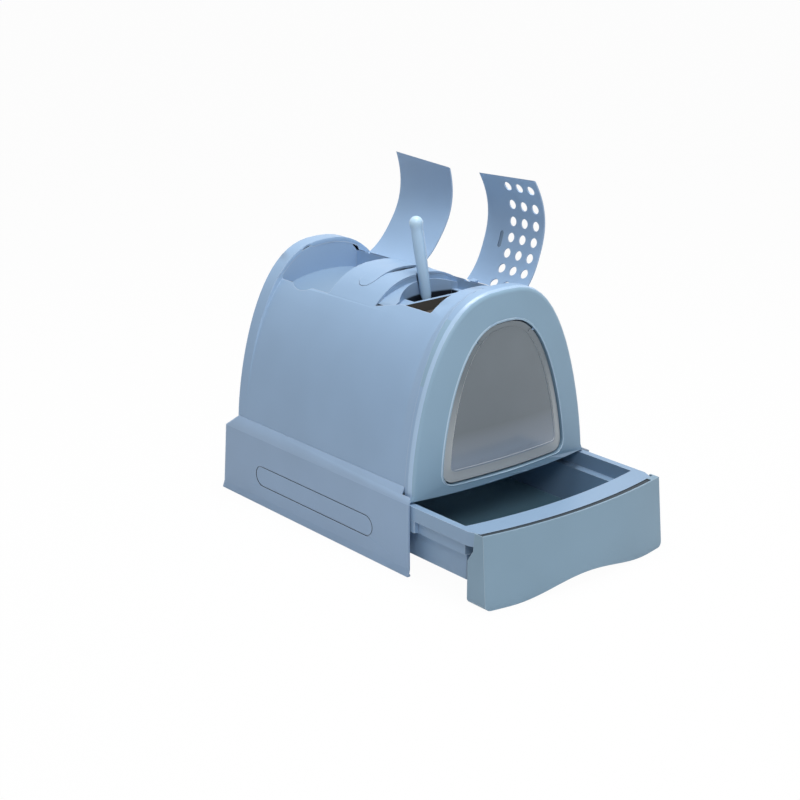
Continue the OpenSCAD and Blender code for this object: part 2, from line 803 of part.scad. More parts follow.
// Section of the door panel, from the opening's lip out to the rounded edge and back inside
panel_in = 8;
panel_y = front_y + panel_in;
lip_proud = 1.8;
lip_w = 2.6;
jamb_deep = 9;
bead_steps = 4;
function panel_section(l) = concat(
    [[0, -lip_proud / 2], [lip_proud / 2, -lip_proud], [lip_w, -lip_proud], [lip_w + lip_proud / 2, 0],
        [l - bead_r, 0]],
    [for (i = [1 : bead_steps]) let (t = 90 * i / bead_steps)
        [l - bead_r + bead_r * sin(t), bead_r * (1 - cos(t))]]);
function panel_section_back(l) =
    [[l - 2 * wall, wall], [wall, wall], [wall, jamb_deep], [0, jamb_deep]];

// How far the door panel stands back at height z
function lean_at(z) = panel_lean * (z - door_panel_z) / (rim_h - door_panel_z);

module door_panel() {
    outer = panel_outline();
    inner = door_outline(0);
    seam = front_y + leg_depth;
    rings = [for (i = [0 : len(outer) - 1])
        let (o = outer[i], d = inner[i], l = norm(o - d), u = (o - d) / l)
        concat(
            [for (p = panel_section(l)) let (q = d + u * p[0])
                [q[0], panel_y + bow(q[0]) + lean_at(q[1]) + p[1], q[1]]],
            [for (k = [0, wall]) let (q = d + u * (l - k)) [q[0], seam, q[1]]],
            [for (p = panel_section_back(l)) let (q = d + u * p[0])
                [q[0], panel_y + bow(q[0]) + lean_at(q[1]) + p[1], q[1]]])];
    color(blue) difference() {
        ring_frame(rings);
        for (s = [-1, 1]) flap_pin(s, pin_r + bore_play, over);
    }
}

// Flap values
flap_t = 2.4;
flap_raise = 1.2;
ridge_side = 17.5;
ridge_low = 21;
ridge_top = 12.5;
ridge_r = 8;
flap_in = 3.2;
flap_pin_len = 13;
flap_pin_x = door_hw(flap_pin_z, flap_gap);
flap_pin_y = panel_y + bow(flap_pin_x) + lean_at(flap_pin_z) + flap_in + flap_t / 2;

// Half width of the door opening at height z, moved in by inset
function door_hw(z, inset) = (door_w / 2 - inset) * pow(1 - pow((z - door_spring)
    / (door_top - inset - door_spring), door_top_power), 1 / door_side_power);

module flap_pin(s, r, extra) {
    translate([s * flap_pin_x, flap_pin_y, flap_pin_z]) rotate([0, 90, 0])
        cylinder(r = r, h = flap_pin_len + 2 * extra, center = true);
}

// Outline of the ridge on the flap, moved in by inset
function ridge_outline(inset) = door_shape(door_w / 2 - ridge_side - inset,
    door_sill + ridge_low + inset, door_top - ridge_top - inset, ridge_r - inset);

// A bowed and leaning plate of an outline, depth behind the panel's face
module flap_plate(outline, depth, t) {
    translate([0, panel_y, door_panel_z]) rotate([-atan(panel_lean / (rim_h - door_panel_z)), 0, 0])
        translate([0, depth, -door_panel_z]) intersection() {
            along_y(-front_bow - over, front_bow) polygon(outline);
            translate([0, bow_r - front_bow, 0]) difference() {
                cylinder(r = bow_r, h = rim_h, $fn = 180);
                translate([0, 0, -over]) cylinder(r = bow_r - t, h = rim_h + 2 * over, $fn = 180);
            }
        }
}

module door_flap() {
    color(smoke) difference() {
        union() {
            flap_plate(door_outline(flap_gap), flap_in, flap_t);
            // Raised rib along the border
            difference() {
                flap_plate(ridge_outline(-flap_raise), flap_in - flap_raise, flap_t);
                flap_plate(ridge_outline(flap_raise), flap_in - flap_raise - over, flap_t + 2 * over);
            }
            // Barrels for the hinge pins
            for (s = [-1, 1])
                translate([s * (flap_pin_x - flap_gap - flap_pin_len / 4), flap_pin_y, flap_pin_z])
                    rotate([0, 90, 0]) cylinder(r = knuckle_r, h = flap_pin_len / 2, center = true);
        }
        for (s = [-1, 1]) flap_pin(s, pin_r + bore_play, 0);
    }
}

module flap_pin_left() color(blue_shade) flap_pin(-1, pin_r, 0);
module flap_pin_right() color(blue_shade) flap_pin(1, pin_r, 0);

// Carry handle: a strap flush with the crown, with a flange under the skin round its ends
handle_t = 3;
handle_flange = 6;
handle_flange_t = 2;

module arch_slab(inset0, inset1, y0, y1) {
    a = hood_w / 2;
    outer = hood_arch(inset0, crown_h, foot_z);
    inner = hood_arch(inset1, crown_h, foot_z);
    along_y(y0, y1) difference() {
        polygon(outer);
        translate([0, -over]) polygon(inner);
        polygon(inner);
    }
}

module carry_handle() {
    y0 = handle_y - handle_w;
    y1 = handle_y + handle_w;
    color(blue) union() {
        intersection() {
            arch_slab(0, wall + seat + handle_flange_t / 2, y0, y1);
            handle_window(0);
        }
        difference() {
            intersection() {
                arch_slab(wall + seat, wall + seat + handle_flange_t, y0, y1);
                handle_window(handle_flange);
            }
            finger_window();
        }
    }
}

// Rear compartment: a dish with a gently arched floor
rear_floor_drop = 40.5;
rear_floor_z = crown_h - rear_floor_drop;
rear_floor_r = 290;
liner_in = 7.5;
liner_t = 2.2;
liner_gap = 0.3;

module rear_compartment() {
    x0 = rear_open_left - open_r;
    x1 = hinge_x - liner_in;
    y0 = rear_open_y - liner_t - liner_gap;
    y1 = min(rear_open_y + rear_open_len + liner_t + liner_gap, hood_back - wall - gap);
    color(blue) union() {
        // Arched floor
        intersection() {
            along_y(y0, y1) difference() {
                translate([0, rear_floor_z - rear_floor_r]) circle(r = rear_floor_r, $fn = 240);
                translate([0, rear_floor_z - rear_floor_r]) circle(r = rear_floor_r - liner_t, $fn = 240);
            }
            hood_fit(y0, y1);
            translate([x0 - 2 * open_r, y0, foot_z]) cube([x1 - x0 + 2 * open_r, y1 - y0, rim_h]);
        }
        // End walls under the edges of the opening
        for (y = [y0, y1 - liner_t]) intersection() {
            hood_fit(y, y + liner_t);
            translate([x0 - 2 * open_r, y, rear_floor_z - liner_t - open_r * 2])
                cube([x1 - x0 + 2 * open_r, liner_t, rim_h]);
            along_y(y, y + liner_t) difference() {
                translate([x0 * 2, foot_z]) square([4 * -x0, rim_h]);
                translate([0, rear_floor_z - rear_floor_r]) circle(r = rear_floor_r - liner_t / 2, $fn = 240);
            }
        }
        // Wall under the hinge edge
        intersection() {
            hood_fit(y0, y1);
            translate([x1 - liner_t, y0, rear_floor_z - liner_t - open_r * 3])
                cube([liner_t, y1 - y0, rim_h]);
        }
    }
}

// The space inside the hood's skin that the compartments fit
module hood_fit(y0, y1) {
    pts = hood_arch(wall + liner_gap, crown_h, foot_z);
    along_y(y0, y1) polygon(pts);
}

// Front compartment: a deck with a filter opening and a scoop pocket, and a stepped arched shelf
deck_t = 2.4;
shelf_drop = 12;
shelf_r = 188;
shelf_arc_r = 112;
shelf_arc_top = 200;
slot_hw = 50;
slot_bar = 7;
pocket_wall = 2;
filter_front = 80;
filter_left = -80;
filter_right = 56;
filter_well = 27;
filter_ledge = 5;
well_x = 5;
filter_back = slot_front - slot_bar;
pocket_deep = (blade_len - blade_top) * cos(scoop_lean) + gap;

// Plan of the scoop slot: a straight front edge and an arched back
module slot_plan(grow) {
    intersection() {
        translate([well_x, front_y + shelf_arc_top - shelf_arc_r]) circle(r = shelf_arc_r + grow, $fn = 96);
        translate([well_x - slot_hw - grow, front_y + slot_front - grow])
            square([2 * (slot_hw + grow), shelf_arc_r]);
    }
}

// Plan of the well in front of the shelf
module well_plan(grow) {
    intersection() {
        translate([well_x, front_y + shelf_arc_top - shelf_arc_r]) circle(r = shelf_arc_r + grow, $fn = 96);
        translate([front_open_left - open_r, front_y + slot_front - shelf_arc_r])
            square([open_right - front_open_left + 2 * open_r, 2 * shelf_arc_r]);
    }
}

module front_compartment() {
    x0 = front_open_corner - liner_in;
    x1 = hinge_x - liner_in;
    y0 = front_open_y - liner_t - liner_gap;
    y1 = front_open_y + front_open_len + liner_t + liner_gap;
    color(blue) difference() {
        union() {
            // Deck
            intersection() {
                hood_fit(y0, y1);
                translate([x0, y0, deck_z - deck_t]) cube([x1 - x0, y1 - y0, deck_t]);
            }
            // Stepped shelf and the wall in front of it
            intersection() {
                union() {
                    intersection() {
                        shelf_slab(y0, y1);
                        translate([x0, y0, deck_z - deck_t]) cube([x1 - x0, y1 - y0, rim_h]);
                    }
                    intersection() {
                        shelf_under(y0, y1);
                        translate([0, 0, deck_z - deck_t]) linear_extrude(rim_h) difference() {
                            well_plan(liner_t);
                            well_plan(0);
                        }
                    }
                }
                translate([0, 0, deck_z - deck_t]) linear_extrude(rim_h) difference() {
                    translate([x0, front_y + slot_front]) square([x1 - x0, front_open_len]);
                    well_plan(0);
                }
            }
            // Wall under the strip, the front edge and the hinge edge
            intersection() {
                hood_fit(y0, y1);
                union() {
                    translate([x0, y1 - liner_t, deck_z - deck_t]) cube([x1 - x0, liner_t, rim_h]);
                    translate([x0, y0, deck_z - deck_t]) cube([x1 - x0, liner_t, rim_h]);
                    translate([x1 - liner_t, y0, deck_z - deck_t]) cube([liner_t, y1 - y0, rim_h]);
                }
            }
            // Scoop pocket
            translate([0, 0, deck_z - pocket_deep - pocket_wall])
                linear_extrude(pocket_deep + pocket_wall) slot_plan(pocket_wall);
            // Filter well
            translate([filter_left - pocket_wall, front_y + filter_front - pocket_wall,
                deck_z - filter_well - pocket_wall])
                cube([filter_right - filter_left + 2 * pocket_wall,
                    filter_back - filter_front + 2 * pocket_wall, filter_well + pocket_wall]);
        }
        translate([0, 0, deck_z - pocket_deep]) linear_extrude(pocket_deep + over) slot_plan(0);
        translate([filter_left, front_y + filter_front, deck_z - filter_well])
            cube([filter_right - filter_left, filter_back - filter_front, filter_well + over]);
        translate([filter_left + filter_ledge, front_y + filter_front + filter_ledge,
            deck_z - filter_well - pocket_wall - over])
            cube([filter_right - filter_left - 2 * filter_ledge,
                filter_back - filter_front - 2 * filter_ledge, filter_well]);
        // Notch for the scoop's grip
        on_scoop_axis() translate([0, 0, -pocket_wall - deck_t]) cylinder(r = notch_r, h = grip_len);
    }
}

// The arched shelf, and the space under its upper face
module shelf_slab(y0, y1) {
    z = crown_h - shelf_drop - shelf_r;
    intersection() {
        hood_fit(y0, y1);
        along_y(y0, y1) translate([0, z]) difference() {
            circle(r = shelf_r, $fn = 180);
            circle(r = shelf_r - liner_t, $fn = 180);
        }
    }
}

module shelf_under(y0, y1) {
    intersection() {
        hood_fit(y0, y1);
        along_y(y0, y1) translate([0, crown_h - shelf_drop - shelf_r]) circle(r = shelf_r, $fn = 180);
    }
}

module carbon_filter() {
    color(carbon)
        translate([filter_left + liner_gap, front_y + filter_front + liner_gap, deck_z - filter_well])
            cube([filter_right - filter_left - 2 * liner_gap, filter_back - filter_front - 2 * liner_gap,
                filter_t]);
}

// A lid as it lies closed: a stretch of arch over the opening, with arms down to its knuckles
module lid_closed(y, len_y, x_left, slant) {
    far = x_left - abs(slant) - over;
    outer = arch_run(lid_right, far, lid_lift + lid_t, lid_steps);
    inner = arch_run(lid_right, far, lid_lift, lid_steps);
    z = skin_z(lid_right, crown_h) + lid_lift;
    difference() {
        union() {
            difference() {
                along_y(y, y + len_y) polygon(concat(outer, reversed(inner)));
                // The free edge runs at a slant
                translate([0, 0, foot_z]) linear_extrude(rim_h)
                    polygon([[x_left - slant, y - over], [far - over, y - over],
                        [far - over, y + len_y + over], [x_left + slant, y + len_y + over]]);
            }
            for (k = knuckle_ys(y, len_y)) {
                translate([hinge_x, k, hinge_z]) rotate([90, 0, 0])
                    cylinder(r = knuckle_r, h = knuckle_len, center = true);
                along_y(k - knuckle_len / 2, k + knuckle_len / 2)
                    polygon([[lid_right - arm_w, z + lid_t / 2], [lid_right, z + lid_t],
                        [hinge_x + knuckle_r * arm_share, hinge_z + knuckle_r * arm_share],
                        [hinge_x - knuckle_r * arm_share, hinge_z - knuckle_r * arm_share]]);
            }
        }
        hinge_bores(y, len_y, pin_r + bore_play);
    }
}

module turned_about_hinge(angle) {
    translate([hinge_x, 0, hinge_z]) rotate([0, angle, 0]) translate([-hinge_x, 0, -hinge_z]) children();
}

module rear_lid() {
    color(blue) turned_about_hinge(rear_lid_open) lid_closed(rear_lid_y, rear_lid_len,
        rear_lid_left, rear_lid_slant);
}

// Air holes of the front lid: columns along the front half, rows round the arc, and a shallow slot
hole_cols = 3;
hole_rows = 7;
hole_col_first = 19.5;
hole_col_pitch = 26.8;
hole_row_first = 14;
hole_row_pitch = 26;
clip_y = 95.5;
clip_x = 98;
clip_len = 28;
clip_w = 8;

module front_lid() {
    color(blue) turned_about_hinge(front_lid_open) difference() {
        lid_closed(front_lid_y, front_lid_len, front_lid_left, front_lid_slant);
        for (c = [0 : hole_cols - 1], r = [0 : hole_rows - 1])
            air_hole(front_lid_y + hole_col_first + c * hole_col_pitch,
                front_lid_left + hole_row_first + r * hole_row_pitch);
        translate([front_lid_left + clip_x, front_lid_y + clip_y, foot_z]) intersection() {
            linear_extrude(rim_h) stadium(clip_len, clip_w);
            translate([-front_lid_left - clip_x, clip_w, -foot_z]) clip_depth();
        }
    }
}

// Everything below the middle of the front lid's thickness
module clip_depth() {
    along_y(-2 * clip_w, 0) polygon(arch_run(open_right, front_lid_left, lid_lift + lid_t / 2, lid_steps));
}

// One air hole square to the lid over x
module air_hole(y, x) {
    z = skin_z(x, crown_h);
    d = 1;
    slope = atan((skin_z(x + d, crown_h) - skin_z(x - d, crown_h)) / (2 * d));
    translate([x, y, z]) rotate([0, -slope, 0]) cylinder(d = air_hole_d, h = 8 * wall, center = true);
}

module rear_lid_pins() {
    color(blue_shade) lid_pins(rear_lid_y, rear_lid_len);
}

module front_lid_pins() {
    color(blue_shade) lid_pins(front_lid_y, front_lid_len);
}

module lid_pins(y_lid, len_y) {
    for (y = knuckle_ys(y_lid, len_y)) translate([hinge_x, y, hinge_z]) rotate([90, 0, 0])
        cylinder(r = pin_r, h = knuckle_len + 2 * (lug_gap + lug_t), center = true);
}

// Scoop: a tapered grip with a ball end over a slotted blade
grip_d_top = 22;
grip_d_low = 18;
grip_low = 24;
blade_w = 60;
blade_lip = 3;
lip_deep = blade_lip + blade_t;
blade_rim = 7;
blade_slots = 5;
blade_slot_w = 5;

module scoop() {
    pitch = (blade_w - 2 * blade_rim) / blade_slots;
    z0 = blade_top - blade_len;
    color(blue) on_scoop_axis() union() {
        translate([0, 0, -grip_low]) cylinder(d1 = grip_d_low / 2, d2 = grip_d_low, h = grip_low);
        cylinder(d1 = grip_d_low, d2 = grip_d_top, h = grip_len);
        translate([0, 0, grip_len]) sphere(d = ball_d);
        difference() {
            union() {
                translate([-blade_w / 2, -blade_t, z0]) cube([blade_w, blade_t, blade_len]);
                for (s = [-1, 1]) translate([s > 0 ? blade_w / 2 - blade_t : -blade_w / 2, -lip_deep, z0])
                    cube([blade_t, lip_deep, blade_len]);
                translate([-blade_w / 2, -lip_deep, blade_top - blade_t]) cube([blade_w, lip_deep, blade_t]);
            }
            for (i = [0 : blade_slots - 1])
                translate([-blade_w / 2 + blade_rim + (i + 1 / 2) * pitch - blade_slot_w / 2,
                    -over - lip_deep, z0 + blade_rim])
                    cube([blade_slot_w, lip_deep + 2 * over, blade_len - grip_low - blade_rim]);
        }
    }
}

base_shell();
side_panels();
runner_left();
runner_right();
drawer_tray();
drawer_front();
hood_shell();
door_panel();
door_flap();
flap_pin_left();
flap_pin_right();
carry_handle();
rear_compartment();
front_compartment();
carbon_filter();
rear_lid();
rear_lid_pins();
front_lid();
front_lid_pins();
scoop();
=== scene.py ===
import bpy, math
from mathutils import Matrix, Vector


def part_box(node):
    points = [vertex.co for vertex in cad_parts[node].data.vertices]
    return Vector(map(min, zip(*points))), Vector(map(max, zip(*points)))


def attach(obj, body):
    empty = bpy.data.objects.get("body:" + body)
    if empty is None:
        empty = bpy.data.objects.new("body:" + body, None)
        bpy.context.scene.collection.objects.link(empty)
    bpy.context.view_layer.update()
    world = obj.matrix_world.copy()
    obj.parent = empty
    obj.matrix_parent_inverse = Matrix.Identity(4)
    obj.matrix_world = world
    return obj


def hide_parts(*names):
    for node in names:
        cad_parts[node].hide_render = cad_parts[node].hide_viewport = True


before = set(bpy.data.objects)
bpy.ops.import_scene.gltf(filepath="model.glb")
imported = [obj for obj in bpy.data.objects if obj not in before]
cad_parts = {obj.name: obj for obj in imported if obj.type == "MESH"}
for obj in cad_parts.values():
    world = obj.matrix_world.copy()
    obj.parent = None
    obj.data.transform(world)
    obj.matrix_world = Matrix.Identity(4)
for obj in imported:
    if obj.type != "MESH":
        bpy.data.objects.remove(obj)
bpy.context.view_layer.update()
bpy.ops.object.select_all(action="DESELECT")
print("frame loaded")

# Sizes and places are in millimetres, and angles in degrees, unless a note says otherwise
perMetre = 1000

# How a face lies, by the share of its normal along an axis: over facing it looks that way,
# over level it lies flat, and under steep it stands nearly upright
facing, level, steep = 0.5, 0.9, 0.3

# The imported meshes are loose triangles: copies are merged within a distance and flat faces joined
copySetup = {"mergeWithin": 0.01, "flatWithin": 0.6}

# Edges sharper than sharpAngle are rounded, and those sharper than creaseAngle stay creases when smoothed
edgeFinish = {"sharpAngle": 50, "creaseAngle": 28, "segments": 2, "normalWeight": 80}


# Selecting, shaping and finishing a piece

def inMetres(place):
    return tuple(value / perMetre for value in place)


def clamp(value):
    return max(0, min(1, value))


def selectOnly(piece):
    bpy.ops.object.select_all(action="DESELECT")
    piece.select_set(True)
    bpy.context.view_layer.objects.active = piece


def applyModifier(piece, kind, **values):
    selectOnly(piece)
    modifier = piece.modifiers.new(kind.lower(), kind)
    for name, value in values.items():
        setattr(modifier, name, value)
    bpy.ops.object.modifier_apply(modifier=modifier.name)


def roundEdges(piece, width, sharpAngle=edgeFinish["sharpAngle"], corner="MITER_SHARP"):
    applyModifier(piece, "BEVEL", width=width / perMetre, segments=edgeFinish["segments"],
        limit_method="ANGLE", angle_limit=math.radians(sharpAngle), miter_outer=corner)


def smooth(piece, creaseAngle=edgeFinish["creaseAngle"]):
    selectOnly(piece)
    bpy.ops.object.shade_smooth_by_angle(angle=math.radians(creaseAngle))
    applyModifier(piece, "WEIGHTED_NORMAL", keep_sharp=True, weight=edgeFinish["normalWeight"])


# Opens edit mode with the vertices or faces selected whose place passes the test
def selectWhere(piece, kind, test):
    selectOnly(piece)
    bpy.ops.object.mode_set(mode="EDIT")
    bpy.ops.mesh.select_mode(type=kind)
    bpy.ops.mesh.select_all(action="DESELECT")
    bpy.ops.object.mode_set(mode="OBJECT")
    if kind == "VERT":
        for vertex in piece.data.vertices:
            vertex.select = test(vertex.co * perMetre)
    else:
        for face in piece.data.polygons:
            face.select = test(face.center * perMetre)
    bpy.ops.object.mode_set(mode="EDIT")


def selectWhole(piece):
    selectWhere(piece, "VERT", lambda p: True)


def pickVertices(piece, test):
    selectWhere(piece, "VERT", test)
    bpy.ops.object.mode_set(mode="OBJECT")
    return [vertex for vertex in piece.data.vertices if vertex.select]


# A test on faces gets the face's middle, p, and its normal
def paintFaces(piece, material, test):
    piece.data.materials.append(material)
    index = len(piece.data.materials) - 1
    for face in piece.data.polygons:
        if test(face.center * perMetre, face.normal):
            face.material_index = index


# True where a face on either side looks back at the part's middle plane
def looksIn(p, normal):
    return p.x * normal.x < -facing


def meshCopy(nodeName, pieceName):
    piece = bpy.data.objects.new(pieceName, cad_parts[nodeName].data.copy())
    piece.data.materials.clear()
    bpy.context.scene.collection.objects.link(piece)
    selectOnly(piece)
    bpy.ops.object.mode_set(mode="EDIT")
    bpy.ops.mesh.select_all(action="SELECT")
    bpy.ops.mesh.remove_doubles(threshold=copySetup["mergeWithin"] / perMetre)
    bpy.ops.mesh.dissolve_limited(angle_limit=math.radians(copySetup["flatWithin"]))
    bpy.ops.object.mode_set(mode="OBJECT")
    return piece


def finishPiece(piece, setup):
    selectOnly(piece)
    bpy.ops.object.transform_apply(location=True, rotation=True, scale=True)
    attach(piece, setup["body"])
    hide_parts(setup["node"])
    print(piece.name, len(piece.data.polygons), "faces")


# Shader groups and the nodes that the materials share

def newGroup(name, inputs, outputs):
    group = bpy.data.node_groups.new(name, "ShaderNodeTree")
    for label, value in inputs.items():
        socket = group.interface.new_socket(name=label, in_out="INPUT", socket_type="NodeSocketFloat")
        socket.default_value = value
    for label in outputs:
        group.interface.new_socket(name=label, in_out="OUTPUT", socket_type="NodeSocketFloat")
    return group, group.nodes.new("NodeGroupInput"), group.nodes.new("NodeGroupOutput")


def addGroup(tree, group, **values):
    node = tree.nodes.new("ShaderNodeGroup")
    node.node_tree = group
    for label, value in values.items():
        node.inputs[label.replace("_", " ")].default_value = value
    return node


def mathNode(tree, operation, first, second, clamped=False):
    node = tree.nodes.new("ShaderNodeMath")
    node.operation = operation
    node.use_clamp = clamped
    for socket, value in zip(node.inputs, (first, second)):
        if isinstance(value, (int, float)):
            socket.default_value = value
        else:
            tree.links.new(value, socket)
    return node.outputs[0]


def mixColour(tree, share, first, second):
    node = tree.nodes.new("ShaderNodeMix")
    node.data_type = "RGBA"
    for socket, value in ((node.inputs[0], share), (node.inputs[6], first), (node.inputs[7], second)):
        if isinstance(value, tuple):
            socket.default_value = (*value, 1.0)
        else:
            tree.links.new(value, socket)
    return node.outputs[2]


def rangeOf(tree, value, low, high, fromLow=0.35, fromHigh=0.65):
    node = tree.nodes.new("ShaderNodeMapRange")
    node.inputs["From Min"].default_value = fromLow
    node.inputs["From Max"].default_value = fromHigh
    node.inputs["To Min"].default_value = low
    node.inputs["To Max"].default_value = high
    tree.links.new(value, node.inputs["Value"])
    return node.outputs["Result"]


# Paints light and shade by height, blending a colour into the base below a height: low holds the height
# where it is full, where it ends, and the colour
def paintLightByHeight(tree, base, low):
    start, stop, colour = low
    place = tree.nodes.new("ShaderNodeTexCoord")
    axes = tree.nodes.new("ShaderNodeSeparateXYZ")
    tree.links.new(place.outputs["Object"], axes.inputs[0])
    share = rangeOf(tree, axes.outputs["Z"], 1.0, 0.0, start / perMetre, stop / perMetre)
    return mixColour(tree, share, base, colour)


def addBump(tree, shader, height, strength, distance):
    bump = tree.nodes.new("ShaderNodeBump")
    bump.inputs["Strength"].default_value = strength
    bump.inputs["Distance"].default_value = distance / perMetre
    tree.links.new(height, bump.inputs["Height"])
    tree.links.new(bump.outputs["Normal"], shader.inputs["Normal"])


def newMaterial(name):
    material = bpy.data.materials.new(name)
    material.use_nodes = True
    return material, material.node_tree, material.node_tree.nodes["Principled BSDF"]


# Fine grain and slow tone of moulded plastic; the scales are noise cells to a metre
grainSetup = {"grainScale": 900.0, "toneScale": 7.0, "grainDetail": 3.0, "grainRough": 0.6,
    "toneDetail": 2.0}


def mouldedGrainGroup():
    inputs = {"Grain Scale": grainSetup["grainScale"], "Tone Scale": grainSetup["toneScale"]}
    group, start, end = newGroup("mouldedGrain", inputs, ("Grain", "Tone"))
    place = group.nodes.new("ShaderNodeTexCoord")
    grain = group.nodes.new("ShaderNodeTexNoise")
    grain.inputs["Detail"].default_value = grainSetup["grainDetail"]
    grain.inputs["Roughness"].default_value = grainSetup["grainRough"]
    tone = group.nodes.new("ShaderNodeTexNoise")
    tone.inputs["Detail"].default_value = grainSetup["toneDetail"]
    for node, label in ((grain, "Grain Scale"), (tone, "Tone Scale")):
        group.links.new(place.outputs["Object"], node.inputs["Vector"])
        group.links.new(start.outputs[label], node.inputs["Scale"])
    group.links.new(grain.outputs["Fac"], end.inputs["Grain"])
    group.links.new(tone.outputs["Fac"], end.inputs["Tone"])
    return group


# A mask of rubbed edges: where the rounded normal turns away from the true one
edgeSetup = {"radius": 1.2, "strength": 5.0, "samples": 4}


def rubbedEdgeGroup():
    inputs = {"Radius": edgeSetup["radius"] / perMetre, "Strength": edgeSetup["strength"]}
    group, start, end = newGroup("rubbedEdge", inputs, ("Mask",))
    rounded = group.nodes.new("ShaderNodeBevel")
    rounded.samples = edgeSetup["samples"]
    group.links.new(start.outputs["Radius"], rounded.inputs["Radius"])
    shape = group.nodes.new("ShaderNodeNewGeometry")
    turn = group.nodes.new("ShaderNodeVectorMath")
    turn.operation = "DOT_PRODUCT"
    group.links.new(rounded.outputs["Normal"], turn.inputs[0])
    group.links.new(shape.outputs["Normal"], turn.inputs[1])
    drop = mathNode(group, "SUBTRACT", 1.0, turn.outputs["Value"])
    share = mathNode(group, "MULTIPLY", drop, start.outputs["Strength"], clamped=True)
    group.links.new(share, end.inputs["Mask"])
    return group


mouldedGrain = mouldedGrainGroup()
rubbedEdge = rubbedEdgeGroup()

# Pastel plastics: edge is how much rubbed edges pale, and low blends in another colour below a height, which
# paints shade deep in the scoop's slot and a highlight on the scoop's ball
plasticBase = {"rough": 0.42, "roughDown": 0.04, "roughUp": 0.05, "grainScale": 1100.0, "grainDepth": 0.05,
    "bumpHeight": 0.4, "tone": 0.03, "edge": 0.25, "ior": 1.46}

pastelFinishes = {
    "hoodBlue": {"colour": (0.298, 0.443, 0.640)},
    "baseBlue": {"colour": (0.288, 0.420, 0.605)},
    # a greyer, shaded copy of the hood's blue for the door panel's front
    "panelShadedBlue": {"colour": (0.272, 0.422, 0.560)},
    # a darker, shaded copy of the base's blue for the drawer's front
    "frontShadedBlue": {"colour": (0.228, 0.355, 0.468)},
    "trayBlue": {"colour": (0.258, 0.387, 0.555)},
    # painted shade on the tray's inner walls and, darker, on its floor
    "trayWallShade": {"colour": (0.205, 0.312, 0.450)},
    "trayFloorShade": {"colour": (0.175, 0.330, 0.430), "rough": 0.5, "edge": 0.0},
    "innerBlue": {"colour": (0.285, 0.415, 0.590)},
    # lit and shaded copies of the inner plastic for the rear compartment's walls and floor
    "wellWallLitBlue": {"colour": (0.345, 0.490, 0.685)},
    "wellFloorShadeBlue": {"colour": (0.225, 0.335, 0.475), "edge": 0.1},
    # painted shade in the scoop's slot, near black deep down, and dark brown painted shade in the filter
    # well
    "wellShade": {"colour": (0.320, 0.460, 0.650), "rough": 0.5, "edge": 0.0,
        "low": (381.5, 384.5, (0.006, 0.010, 0.018))},
    "wellBrownShade": {"colour": (0.085, 0.078, 0.068), "rough": 0.7, "edge": 0.0},
    # painted light on the base's upward-facing ledge
    "ledgeLitBlue": {"colour": (0.360, 0.510, 0.720)},
    # painted highlights on the door panel's bead and on the lip round its opening
    "beadHighlight": {"colour": (0.400, 0.560, 0.760), "rough": 0.28, "edge": 0.0},
    "lipHighlight": {"colour": (0.520, 0.680, 0.840), "rough": 0.28, "edge": 0.0},
    "slotShade": {"colour": (0.170, 0.255, 0.370), "edge": 0.0},
    "grooveShade": {"colour": (0.020, 0.032, 0.045), "rough": 0.7, "edge": 0.0},
    # the scoop's blue, with its ball end painted paler as a highlight
    "scoopBlueBallHighlight": {"colour": (0.500, 0.700, 0.880), "rough": 0.24, "edge": 0.1,
        "low": (492, 500, (0.425, 0.620, 0.835))},
}


def pastelPlastic(name, finish):
    s = {**plasticBase, **finish}
    material, tree, shader = newMaterial(name)
    grain = addGroup(tree, mouldedGrain, Grain_Scale=s["grainScale"])
    wear = addGroup(tree, rubbedEdge)
    darker = tuple(c * (1 - s["tone"]) for c in s["colour"])
    lighter = tuple(c * (1 + s["tone"]) for c in s["colour"])
    pale = tuple(c + (1 - c) * s["edge"] for c in s["colour"])
    base = mixColour(tree, rangeOf(tree, grain.outputs["Tone"], 0, 1), darker, lighter)
    if "low" in s:
        base = paintLightByHeight(tree, base, s["low"])
    tree.links.new(mixColour(tree, wear.outputs["Mask"], base, pale), shader.inputs["Base Color"])
    rough = rangeOf(tree, grain.outputs["Grain"], s["rough"] - s["roughDown"], s["rough"] + s["roughUp"])
    tree.links.new(rough, shader.inputs["Roughness"])
    addBump(tree, shader, grain.outputs["Grain"], s["grainDepth"], s["bumpHeight"])
    shader.inputs["IOR"].default_value = s["ior"]
    return material


pastels = {name: pastelPlastic(name, finish) for name, finish in pastelFinishes.items()}
print("plastics ready")

# Smoked clear plastic of the flap: clear is the share of light let through, and low paints the pane lighter
# towards the bottom as painted reflection, the border lighter towards the bottom as painted light, and the
# ridge paler still as a painted highlight
clearBase = {"grainScale": 260.0, "toneScale": 9.0, "dark": 0.92, "roughUp": 0.05, "ior": 1.5, "coat": 0.3}

clearFinishes = {
    "paneSmokeAndReflection": {"colour": (0.215, 0.262, 0.300), "clear": 0.25, "rough": 0.14,
        "low": (160, 215, (0.400, 0.470, 0.570))},
    "borderClearAndLight": {"colour": (0.235, 0.285, 0.325), "clear": 0.25, "rough": 0.18,
        "low": (170, 300, (0.600, 0.650, 0.680))},
    "ridgeClearHighlight": {"colour": (0.480, 0.530, 0.570), "clear": 0.20, "rough": 0.12,
        "low": (220, 380, (0.850, 0.890, 0.920))},
}


